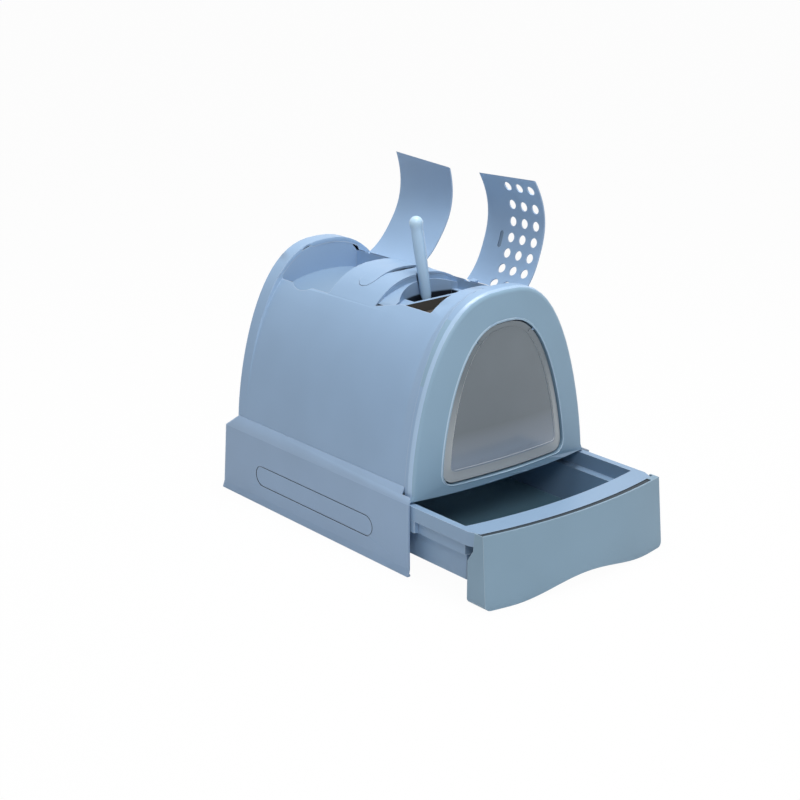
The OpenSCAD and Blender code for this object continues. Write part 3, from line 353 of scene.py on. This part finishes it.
def smokedClear(name, finish):
    s = {**clearBase, **finish}
    material, tree, shader = newMaterial(name)
    grain = addGroup(tree, mouldedGrain, Grain_Scale=s["grainScale"], Tone_Scale=s["toneScale"])
    darker = tuple(c * s["dark"] for c in s["colour"])
    base = mixColour(tree, rangeOf(tree, grain.outputs["Tone"], 0, 1), darker, s["colour"])
    tree.links.new(paintLightByHeight(tree, base, s["low"]), shader.inputs["Base Color"])
    rough = rangeOf(tree, grain.outputs["Grain"], s["rough"], s["rough"] + s["roughUp"])
    tree.links.new(rough, shader.inputs["Roughness"])
    shader.inputs["Transmission Weight"].default_value = s["clear"]
    shader.inputs["IOR"].default_value = s["ior"]
    shader.inputs["Coat Weight"].default_value = s["coat"]
    return material


clearPlastics = {name: smokedClear(name, finish) for name, finish in clearFinishes.items()}

# Open foam of the filter, with dark cells
foamSetup = {"colour": (0.075, 0.060, 0.048), "cellScale": 420.0, "cellFrom": 0.1, "cellTo": 0.6,
    "dark": 0.35, "grainScale": 500.0, "toneScale": 30.0, "roughFrom": 0.85, "roughTo": 1.0, "strength": 0.8,
    "bumpHeight": 1.0}


def openFoam(name, s):
    material, tree, shader = newMaterial(name)
    place = tree.nodes.new("ShaderNodeTexCoord")
    cells = tree.nodes.new("ShaderNodeTexVoronoi")
    cells.inputs["Scale"].default_value = s["cellScale"]
    tree.links.new(place.outputs["Object"], cells.inputs["Vector"])
    grain = addGroup(tree, mouldedGrain, Grain_Scale=s["grainScale"], Tone_Scale=s["toneScale"])
    share = rangeOf(tree, cells.outputs["Distance"], 0, 1, s["cellFrom"], s["cellTo"])
    base = mixColour(tree, share, tuple(c * s["dark"] for c in s["colour"]), s["colour"])
    tree.links.new(base, shader.inputs["Base Color"])
    rough = rangeOf(tree, grain.outputs["Grain"], s["roughFrom"], s["roughTo"])
    tree.links.new(rough, shader.inputs["Roughness"])
    addBump(tree, shader, cells.outputs["Distance"], s["strength"], s["bumpHeight"])
    return material


filterBrown = openFoam("filterBrown", foamSetup)
print("clear plastic and foam ready")


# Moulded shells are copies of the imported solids: shaped, rounded, cut and then painted face by face. The
# piece's dictionary gives its first plastic, and paints gives others with the test that picks their faces
def dressShell(setup, shape=None, cut=None, paints=None):
    piece = meshCopy(setup["node"], setup["piece"])
    if shape:
        shape(piece)
    if "edge" in setup:
        roundEdges(piece, setup["edge"], corner="MITER_ARC")
    if cut:
        cut(piece)
    smooth(piece, setup.get("creaseAngle", edgeFinish["creaseAngle"]))
    piece.data.materials.append(pastels[setup["plastic"]])
    for name, test in (paints or {}).items():
        paintFaces(piece, pastels[name], test)
    finishPiece(piece, setup)


# Base shell: its ledge ends lower at the right front, painted light lies on the ledge's upward slope, and a
# line of painted shade runs round each inlay
baseShell = {"node": "base_shell", "piece": "baseShell", "body": "base", "slot": "base_plastic",
    "plastic": "baseBlue", "edge": 0.9, "creaseAngle": 14, "endX": 186, "endY": -236, "endZ": 116.9,
    "grooveX": 190, "grooveMiddle": -8.5, "grooveHalf": 166, "grooveLow": 30, "grooveTop": 78,
    "ledgeX": 185, "ledgeLow": 100, "slopeFrom": 0.25, "slopeTo": 0.8}


def lowerRightEnd(base):
    s = baseShell
    for vertex in pickVertices(base, lambda p: p.x > s["endX"] and p.y < s["endY"] and p.z > s["endZ"]):
        vertex.co.z = s["endZ"] / perMetre


def inlayGroove(p, normal):
    s = baseShell
    beside = abs(p.x) > s["grooveX"] and abs(p.y - s["grooveMiddle"]) < s["grooveHalf"]
    return beside and s["grooveLow"] < p.z < s["grooveTop"] and abs(normal.x) < facing


def sideLedge(p, normal):
    s = baseShell
    beside = abs(p.x) > s["ledgeX"] and p.z > s["ledgeLow"]
    return beside and s["slopeFrom"] < normal.z < s["slopeTo"] and abs(normal.x) > facing


dressShell(baseShell, shape=lowerRightEnd, paints={"grooveShade": inlayGroove, "ledgeLitBlue": sideLedge})

# Inlays in the base's sides: a little smaller than their hollows, so that a line shows round them
sidePanels = {"node": "side_panels", "piece": "sidePanels", "body": "base", "slot": "base_plastic",
    "plastic": "baseBlue", "edge": 0.6, "shrink": (1, 0.996, 0.965), "middle": (0, -8.5, 53.5)}


def shrinkInlays(inlays):
    selectWhole(inlays)
    bpy.ops.transform.resize(value=sidePanels["shrink"], center_override=inMetres(sidePanels["middle"]))
    bpy.ops.object.mode_set(mode="OBJECT")


def inlayRim(p, normal):
    return abs(normal.x) < facing


dressShell(sidePanels, shape=shrinkInlays, paints={"grooveShade": inlayRim})

# Drawer tray: painted shade on its inner walls, darker painted shade on its floor, and painted shade where
# it closes the groove behind the drawer's front
drawerTray = {"node": "drawer_tray", "piece": "drawerTray", "body": "drawer", "slot": "tray_plastic",
    "plastic": "trayBlue", "edge": 0.9, "behindY": -380, "behindLow": 93, "behindTop": 116.2,
    "wallX": 181, "wallLow": 24, "wallTop": 112, "floorX": 178, "floorLow": 22, "floorTop": 60}


def behindFront(p, normal):
    s = drawerTray
    return normal.y < -facing and p.y < s["behindY"] and s["behindLow"] < p.z < s["behindTop"]


def trayWall(p, normal):
    s = drawerTray
    return abs(p.x) < s["wallX"] and s["wallLow"] < p.z < s["wallTop"] and looksIn(p, normal)


def trayFloor(p, normal):
    s = drawerTray
    return abs(p.x) < s["floorX"] and s["floorLow"] < p.z < s["floorTop"] and normal.z > facing


dressShell(drawerTray, paints={"grooveShade": behindFront, "trayWallShade": trayWall, "trayFloorShade": trayFloor})

# Drawer front: bowed, in a darker, shaded copy of the base's blue, with a shallow groove along the back of
# its top edge whose bed and sides are painted shade. From and to are measured back from the front face
drawerFront = {"node": "drawer_front", "piece": "drawerFront", "body": "drawer", "slot": "base_plastic",
    "plastic": "frontShadedBlue", "edge": 1.6, "faceY": -422.5, "bow": 23.0, "bowHalf": 200.0,
    "grooveLeft": -189.0, "grooveRight": 170.0, "grooveFrom": 2.6, "grooveTo": 13.0, "grooveLow": 116.4,
    "grooveTop": 121.0, "grooveSteps": 24, "bedWithin": 0.3, "bedSides": 117.9}


def bowedFace(x):
    s = drawerFront
    return s["faceY"] - s["bow"] * (1 - (x / s["bowHalf"]) ** 2)


def cutGroove(panel):
    s = drawerFront
    bpy.ops.mesh.primitive_grid_add(x_subdivisions=s["grooveSteps"], y_subdivisions=1, size=1,
        location=(0, 0, 0))
    cutter = bpy.context.object
    for vertex in cutter.data.vertices:
        along, inward = vertex.co.x + 0.5, vertex.co.y + 0.5  # shares of the grid, which is 1 wide
        x = s["grooveLeft"] + along * (s["grooveRight"] - s["grooveLeft"])
        y = bowedFace(x) + s["grooveFrom"] + inward * (s["grooveTo"] - s["grooveFrom"])
        vertex.co = inMetres((x, y, s["grooveLow"]))
    bpy.ops.object.mode_set(mode="EDIT")
    bpy.ops.mesh.select_all(action="SELECT")
    up = inMetres((0, 0, s["grooveTop"] - s["grooveLow"]))
    bpy.ops.mesh.extrude_region_move(TRANSFORM_OT_translate={"value": up})
    bpy.ops.mesh.select_all(action="SELECT")
    bpy.ops.mesh.normals_make_consistent(inside=False)
    bpy.ops.object.mode_set(mode="OBJECT")
    applyModifier(panel, "BOOLEAN", operation="DIFFERENCE", object=cutter, solver="EXACT")
    bpy.data.objects.remove(cutter)


def grooveBed(p, normal):
    s = drawerFront
    bed = normal.z > level and abs(p.z - s["grooveLow"]) < s["bedWithin"]
    sides = abs(normal.z) < steep and s["grooveLow"] < p.z < s["bedSides"]
    return bed or sides


dressShell(drawerFront, cut=cutGroove, paints={"grooveShade": grooveBed})

# Hood shell
hoodShell = {"node": "hood_shell", "piece": "hoodShell", "body": "hood", "slot": "hood_plastic",
    "plastic": "hoodBlue", "edge": 0.6}

dressShell(hoodShell)

# The door's arch, shared by the door panel's opening and the flap
doorArch = {"sill": 134.0, "top": 380.0, "rise": 1.4, "spread": 2.6}


def archHalf(half, share):
    return half * (1 - share ** doorArch["rise"]) ** (1 / doorArch["spread"])


# Door panel: a greyer, shaded copy of the hood's blue on its front, the hood's blue on its sides, a painted
# highlight on the bead round its rim and another on the lip round the opening. The turns are shares of the
# normal to the front
doorPanel = {"node": "door_panel", "piece": "doorPanel", "body": "hood", "slot": "hood_plastic",
    "plastic": "panelShadedBlue", "sideX": 150, "crownZ": 400, "sideTurn": 0.12, "sideBack": 0.4, "beadTurn": 0.62,
    "beadUnder": 0.2, "lipTurn": 0.95, "openingHalf": 137, "lipOut": 12, "lipLow": 122, "lipTop": 392}


def panelSide(p, normal):
    s = doorPanel
    outer = abs(p.x) > s["sideX"] or p.z > s["crownZ"]
    turned = -s["sideTurn"] <= normal.y < s["sideBack"] and normal.z > -facing
    return outer and turned and not looksIn(p, normal)


def openingLip(p, normal):
    s = doorPanel
    share = clamp((p.z - doorArch["sill"]) / (doorArch["top"] - doorArch["sill"]))
    near = abs(p.x) < archHalf(s["openingHalf"], share) + s["lipOut"] and s["lipLow"] < p.z < s["lipTop"]
    return near and -s["lipTurn"] < normal.y < -s["sideTurn"]


def panelBead(p, normal):
    s = doorPanel
    turned = -s["beadTurn"] < normal.y < -s["sideTurn"] and normal.z > -s["beadUnder"]
    return turned and not looksIn(p, normal) and not openingLip(p, normal)


dressShell(doorPanel, paints={"hoodBlue": panelSide, "beadHighlight": panelBead, "lipHighlight": openingLip})

# Carry handle: lifted all over, and a little more at the middle of its front edge
carryHandle = {"node": "carry_handle", "piece": "carryHandle", "body": "hood", "slot": "hood_plastic",
    "plastic": "hoodBlue", "edge": 0.8, "lift": 1.0, "frontLift": 2.2, "frontHalf": 52, "liftFrom": 4,
    "liftOver": 22}


def liftHandle(handle):
    s = carryHandle
    selectWhole(handle)
    bpy.ops.transform.translate(value=inMetres((0, 0, s["lift"])))
    bpy.ops.object.mode_set(mode="OBJECT")
    for vertex in handle.data.vertices:
        x, y = vertex.co.x * perMetre, vertex.co.y * perMetre
        share = max(0, 1 - (x / s["frontHalf"]) ** 2) * clamp((s["liftFrom"] - y) / s["liftOver"])
        vertex.co.z += s["frontLift"] / perMetre * share * share * (3 - 2 * share)  # eases in and out


dressShell(carryHandle, shape=liftHandle)

# Rear compartment: its back wall is raised towards the hood's rim, along lines that spread from far below,
# and the raise runs out beside the hinge. The arch is the wall's own top edge. Its walls are painted in a
# lighter, lit copy of the inner plastic and its floor in a darker, shaded copy
rearCompartment = {"node": "rear_compartment", "piece": "rearCompartment", "body": "hood",
    "slot": "inner_plastic", "plastic": "wellWallLitBlue", "edge": 0.5, "wallY": 195.4, "wallLow": 340,
    "raise": 11.8, "spread": 1.1, "spreadFrom": 235, "endX": 64, "endOver": 5, "floorTop": 405}
wallArch = {"half": 182.9, "widest": 0.999, "spring": 128, "top": 414.7, "across": 2.5, "upward": 1.55,
    "within": 1.5}


def onWallTop(p):
    s = wallArch
    share = min(abs(p.x) / s["half"], s["widest"])
    height = s["spring"] + (s["top"] - s["spring"]) * (1 - share ** s["across"]) ** (1 / s["upward"])
    return abs(p.z - height) < s["within"]


def raiseBackWall(well):
    s = rearCompartment
    for vertex in pickVertices(well, lambda p: p.y > s["wallY"] and p.z > s["wallLow"] and onWallTop(p)):
        x = vertex.co.x
        outward = Vector((min(x, 0) * s["spread"], 0, s["spreadFrom"] / perMetre)).normalized()
        share = clamp((s["endX"] / perMetre - x) / (s["endOver"] / perMetre))
        vertex.co += outward * (s["raise"] / perMetre) * share


def wellFloor(p, normal):
    return normal.z > facing and p.z < rearCompartment["floorTop"]


dressShell(rearCompartment, shape=raiseBackWall, paints={"wellFloorShadeBlue": wellFloor})

# Front compartment: painted shade inside the scoop's slot, near black below a height, and dark brown painted
# shade on the filter well below the filter's edge
frontCompartment = {"node": "front_compartment", "piece": "frontCompartment", "body": "hood",
    "slot": "inner_plastic", "plastic": "innerBlue", "edge": 0.5, "slotTop": 381, "filterTop": 382,
    "barY": -97}


def scoopSlot(p, normal):
    s = frontCompartment
    return p.z < s["slotTop"] and p.y > s["barY"] and normal.z < level


def filterWell(p, normal):
    s = frontCompartment
    return p.z < s["filterTop"] and p.y < s["barY"]


dressShell(frontCompartment, paints={"wellShade": scoopSlot, "wellBrownShade": filterWell})

# Lids; the front one has a shaded clip slot beside its air holes
rearLid = {"node": "rear_lid", "piece": "rearLid", "body": "rear_lid_body", "slot": "lid_plastic",
    "plastic": "hoodBlue", "edge": 0.6}
frontLid = {"node": "front_lid", "piece": "frontLid", "body": "front_lid_body", "slot": "lid_plastic",
    "plastic": "hoodBlue", "edge": 0.5, "clipAt": (125.5, -114, 465.4), "clipHalf": 4.1, "clipReach": 14.5}


def clipSlot(p, normal):
    s = frontLid
    x, y, z = s["clipAt"]
    return abs(p.y - y) < s["clipHalf"] and math.hypot(p.x - x, p.z - z) < s["clipReach"]


dressShell(rearLid)
dressShell(frontLid, paints={"slotShade": clipSlot})

# Door flap: smoked pane, clear border and a ridge between them painted pale as a highlight. Side, low and
# top are the ridge's distances from the flap's edge, and the out and in values how far a paint reaches past
# the ridge's line
doorFlap = {"node": "door_flap", "piece": "doorFlap", "body": "flap", "slot": "smoked_flap", "edge": 0.4,
    "half": 129.7, "ridgeSide": 17.5, "ridgeLow": 21.0, "ridgeTop": 12.5, "ridgeCorner": 8.0,
    "paneOut": 2.2, "ridgeOut": 2.4, "ridgeIn": 5.5, "ridgeTurn": 0.985, "faceY": -255}


def ridgeHalfWidth(z, out):
    s = doorFlap
    low = doorArch["sill"] + s["ridgeLow"] - out
    crown = doorArch["top"] - (s["ridgeTop"] - out)
    half = s["half"] - (s["ridgeSide"] - out)
    corner = s["ridgeCorner"] + out
    spring = low + corner
    if z >= crown or z <= low:
        return 0.0
    if z >= spring:
        return archHalf(half, (z - spring) / (crown - spring))
    return half - corner + math.sqrt(max(corner ** 2 - (spring - z) ** 2, 0))


def insideRidge(p, out):
    return abs(p.x) < ridgeHalfWidth(p.z, out)


def flapPane(p, normal):
    return insideRidge(p, doorFlap["paneOut"])


def flapRidge(p, normal):
    s = doorFlap
    near = insideRidge(p, s["ridgeOut"]) and not insideRidge(p, -s["ridgeIn"])
    return near and normal.y < steep and abs(normal.y) < s["ridgeTurn"] and p.y < s["faceY"]


flap = meshCopy(doorFlap["node"], doorFlap["piece"])
roundEdges(flap, doorFlap["edge"])
smooth(flap)
flap.data.materials.append(clearPlastics["borderClearAndLight"])
paintFaces(flap, clearPlastics["paneSmokeAndReflection"], flapPane)
paintFaces(flap, clearPlastics["ridgeClearHighlight"], flapRidge)
finishPiece(flap, doorFlap)

# Scoop: a grip with a ball end over a slotted blade, modelled upright from the grip's lower end and then
# leant into its pocket, with its ball end painted paler than the grip as a highlight
scoopSetup = {"node": "scoop", "body": "scoop_body", "slot": "lid_plastic", "place": (0, -71.5, 384),
    "lean": 11.6, "creaseAngle": 40,
    "gripSides": 40, "footRadius": 4.5, "footLen": 4.0, "taperLen": 20.0, "gripLow": 9.0, "gripHigh": 10.2,
    "gripLen": 103.0, "gripEase": 0.4, "neckRadius": 9.3, "neckLen": 3.0, "gripEdge": 0.6,
    "ball": 11.5, "ballZ": 118.0, "ballRings": 8, "ballFrom": -38, "ballStep": 15.5, "ballTip": 0.6,
    "bladeW": 60.0, "bladeT": 2.5, "bladeLen": 66.0, "bladeTop": -8.0, "bladeEdge": 0.5,
    "rim": 7.0, "slots": 5, "slotW": 5.0, "slotH": 35.0}


# The rings of the grip: how far each stands above the last, and its radius
def gripRings():
    s = scoopSetup
    rings = [(s["taperLen"], s["gripLow"]), (s["gripLen"] / 2, s["gripHigh"] - s["gripEase"]),
        (s["gripLen"] / 2, s["gripHigh"]), (s["neckLen"], s["neckRadius"])]
    height = s["gripLen"] + s["neckLen"]
    for step in range(1, s["ballRings"] + 1):
        angle = math.radians(s["ballFrom"] + step * s["ballStep"])
        nextHeight = s["ballZ"] + s["ball"] * math.sin(angle)
        rings.append((nextHeight - height, max(s["ball"] * math.cos(angle), s["ballTip"])))
        height = nextHeight
    return rings


def scoopGrip():
    s = scoopSetup
    foot = inMetres((0, 0, -s["taperLen"] - s["footLen"] / 2))
    bpy.ops.mesh.primitive_cylinder_add(vertices=s["gripSides"], radius=s["footRadius"] / perMetre,
        depth=s["footLen"] / perMetre, location=foot)
    grip = bpy.context.object
    selectWhere(grip, "FACE", lambda p: p.z > s["footLen"] / 4)  # its top face alone
    last = s["footRadius"]
    for rise, radius in gripRings():
        bpy.ops.mesh.extrude_region_move(TRANSFORM_OT_translate={"value": inMetres((0, 0, rise))})
        bpy.ops.transform.resize(value=(radius / last, radius / last, 1))
        last = radius
    bpy.ops.object.mode_set(mode="OBJECT")
    roundEdges(grip, s["gripEdge"])
    selectOnly(grip)
    bpy.ops.object.transform_apply(location=True, rotation=True, scale=True)
    return grip


# The blade is a grid whose lines are moved to the rims and slots, with the slots' faces taken out
def scoopBlade():
    s = scoopSetup
    pitch = (s["bladeW"] - 2 * s["rim"]) / s["slots"]
    columns = [-s["bladeW"] / 2]
    for index in range(s["slots"]):
        middle = -s["bladeW"] / 2 + s["rim"] + (index + 0.5) * pitch
        columns += [middle - s["slotW"] / 2, middle + s["slotW"] / 2]
    columns.append(s["bladeW"] / 2)
    low = s["bladeTop"] - s["bladeLen"]
    rows = [low, low + s["rim"], low + s["rim"] + s["slotH"], s["bladeTop"]]
    across, upward = len(columns) - 1, len(rows) - 1
    bpy.ops.mesh.primitive_grid_add(x_subdivisions=across, y_subdivisions=upward, size=2,
        location=(0, 0, 0))
    blade = bpy.context.object
    for vertex in blade.data.vertices:
        column = round((vertex.co.x + 1) / 2 * across)  # the grid runs from -1 to 1
        row = round((vertex.co.y + 1) / 2 * upward)
        vertex.co = inMetres((columns[column], 0, rows[row]))
    openings = list(zip(columns[1:-1:2], columns[2:-1:2]))
    selectWhere(blade, "FACE", lambda p: rows[1] < p.z < rows[2]
        and any(left < p.x < right for left, right in openings))
    bpy.ops.mesh.delete(type="FACE")
    bpy.ops.mesh.select_all(action="SELECT")
    bpy.ops.mesh.normals_make_consistent(inside=False)
    bpy.ops.object.mode_set(mode="OBJECT")
    applyModifier(blade, "SOLIDIFY", thickness=s["bladeT"] / perMetre, offset=0)
    selectWhole(blade)
    bpy.ops.transform.translate(value=inMetres((0, -s["bladeT"] / 2, 0)))
    bpy.ops.object.mode_set(mode="OBJECT")
    roundEdges(blade, s["bladeEdge"])
    return blade


scoop = scoopGrip()
blade = scoopBlade()
selectOnly(scoop)
blade.select_set(True)
bpy.ops.object.join()
scoop.name = "scoop"
scoop.rotation_euler = (-math.radians(scoopSetup["lean"]), 0, 0)
scoop.location = inMetres(scoopSetup["place"])
smooth(scoop, scoopSetup["creaseAngle"])
scoop.data.materials.append(pastels["scoopBlueBallHighlight"])
finishPiece(scoop, scoopSetup)

# Carbon filter: a foam pad, the size of its solid, with a fluffed top
filterPad = {"node": "carbon_filter", "piece": "filterPad", "body": "hood", "slot": "carbon_felt",
    "edge": 1.2, "sharpAngle": 30, "cuts": 20, "topWithin": 0.3, "fluff": 0.5, "seed": 4}


def foamPad():
    s = filterPad
    low, high = (Vector(corner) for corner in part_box(s["node"]))
    size = high - low
    bpy.ops.mesh.primitive_cube_add(size=1, location=low + size / 2)
    pad = bpy.context.object
    pad.name = s["piece"]
    pad.dimensions = size
    bpy.ops.object.transform_apply(location=True, rotation=True, scale=True)
    roundEdges(pad, s["edge"], s["sharpAngle"])
    selectOnly(pad)
    bpy.ops.object.mode_set(mode="EDIT")
    bpy.ops.mesh.select_all(action="SELECT")
    bpy.ops.mesh.subdivide(number_cuts=s["cuts"])
    bpy.ops.object.mode_set(mode="OBJECT")
    selectWhere(pad, "VERT", lambda p: p.z > high.z * perMetre - s["topWithin"])
    bpy.ops.transform.vertex_random(offset=s["fluff"] / perMetre, uniform=0.0, normal=1.0, seed=s["seed"])
    bpy.ops.object.mode_set(mode="OBJECT")
    selectOnly(pad)
    bpy.ops.object.shade_smooth()
    pad.data.materials.append(filterBrown)
    return pad


finishPiece(foamPad(), filterPad)

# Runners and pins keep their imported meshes
plainNodes = {"runner_left": "trayBlue", "runner_right": "trayBlue", "flap_pin_left": "innerBlue",
    "flap_pin_right": "innerBlue", "rear_lid_pins": "innerBlue", "front_lid_pins": "innerBlue"}
for nodeName, plasticName in plainNodes.items():
    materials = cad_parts[nodeName].data.materials
    materials.clear()
    materials.append(pastels[plasticName])
print("pieces ready")

# Studio: a white floor and world, which light the object far less than the camera sees. Sizes and places
# from here on are in metres
studio = {"floorSize": 60.0, "floorDrop": 0.0005, "paperGrey": 0.9, "paperRough": 0.9, "floorWhite": 0.97,
    "worldLight": 0.205}
white = (1, 1, 1, 1)


# One for what the camera sees straight, mirrored or through the flap, and nought for light on the object
def seenWhite(tree):
    path = tree.nodes.new("ShaderNodeLightPath")
    seen = mathNode(tree, "MAXIMUM", path.outputs["Is Camera Ray"], path.outputs["Is Glossy Ray"])
    return mathNode(tree, "MAXIMUM", seen, path.outputs["Is Transmission Ray"])


def addFloor():
    bpy.ops.mesh.primitive_plane_add(size=studio["floorSize"], location=(0, 0, -studio["floorDrop"]))
    floor = bpy.context.object
    floor.name = "floor"
    material, tree, shader = newMaterial("floorPaper")
    shader.inputs["Base Color"].default_value = (*[studio["paperGrey"]] * 3, 1)
    shader.inputs["Roughness"].default_value = studio["paperRough"]
    glow = tree.nodes.new("ShaderNodeEmission")
    glow.inputs["Color"].default_value = white
    blend = tree.nodes.new("ShaderNodeMixShader")
    share = mathNode(tree, "MULTIPLY", seenWhite(tree), studio["floorWhite"])
    tree.links.new(share, blend.inputs[0])
    tree.links.new(shader.outputs[0], blend.inputs[1])
    tree.links.new(glow.outputs[0], blend.inputs[2])
    tree.links.new(blend.outputs[0], tree.nodes["Material Output"].inputs["Surface"])
    floor.data.materials.append(material)


def addWorld():
    world = bpy.data.worlds.new("studioWorld")
    world.use_nodes = True
    background = world.node_tree.nodes["Background"]
    strength = rangeOf(world.node_tree, seenWhite(world.node_tree), studio["worldLight"], 1.0, 0.0, 1.0)
    world.node_tree.links.new(strength, background.inputs["Strength"])
    background.inputs["Color"].default_value = white
    bpy.context.scene.world = world


lamps = {
    "keyLamp": {"place": (-1.10, -1.60, 1.55), "power": 12.5, "size": 0.7},
    "frontLamp": {"place": (0.5, -2.6, 0.7), "power": 5.0, "size": 1.0},
    "topLamp": {"place": (0.1, -0.1, 2.4), "power": 44.0, "size": 1.2},
}
lampTarget = Vector((0, -0.05, 0.2))


def addLamp(name, lamp):
    data = bpy.data.lights.new(name, "AREA")
    data.energy = lamp["power"]
    data.size = lamp["size"]
    light = bpy.data.objects.new(name, data)
    light.location = lamp["place"]
    light.rotation_euler = (lampTarget - light.location).to_track_quat("-Z", "Y").to_euler()
    bpy.context.scene.collection.objects.link(light)


# The camera stands as it did for the photo; focal and wide are pixels of the photo, and sensor is in
# millimetres
cameraSetup = {"focal": 1715.995, "wide": 800, "sensor": 36, "azimuth": -39.1245, "elevation": 18.4133,
    "roll": -0.6111, "place": (-1.75659, -2.16063, 1.11005)}


def addCamera():
    s = cameraSetup
    camera = bpy.data.cameras.new("photoCamera")
    camera.lens = s["focal"] / s["wide"] * s["sensor"]
    viewer = bpy.data.objects.new("photoCamera", camera)
    bpy.context.scene.collection.objects.link(viewer)
    azimuth, elevation, roll = (math.radians(s[key]) for key in ("azimuth", "elevation", "roll"))
    back = Vector((math.sin(azimuth) * math.cos(elevation), -math.cos(azimuth) * math.cos(elevation),
        math.sin(elevation)))
    turn = (-back).to_track_quat("-Z", "Y").to_matrix() @ Matrix.Rotation(roll, 3, "Z")
    viewer.matrix_world = Matrix.Translation(s["place"]) @ turn.to_4x4()
    bpy.context.scene.camera = viewer


addFloor()
addWorld()
for name, lamp in lamps.items():
    addLamp(name, lamp)
addCamera()
bpy.context.scene.view_settings.view_transform = "Standard"
print("studio ready")
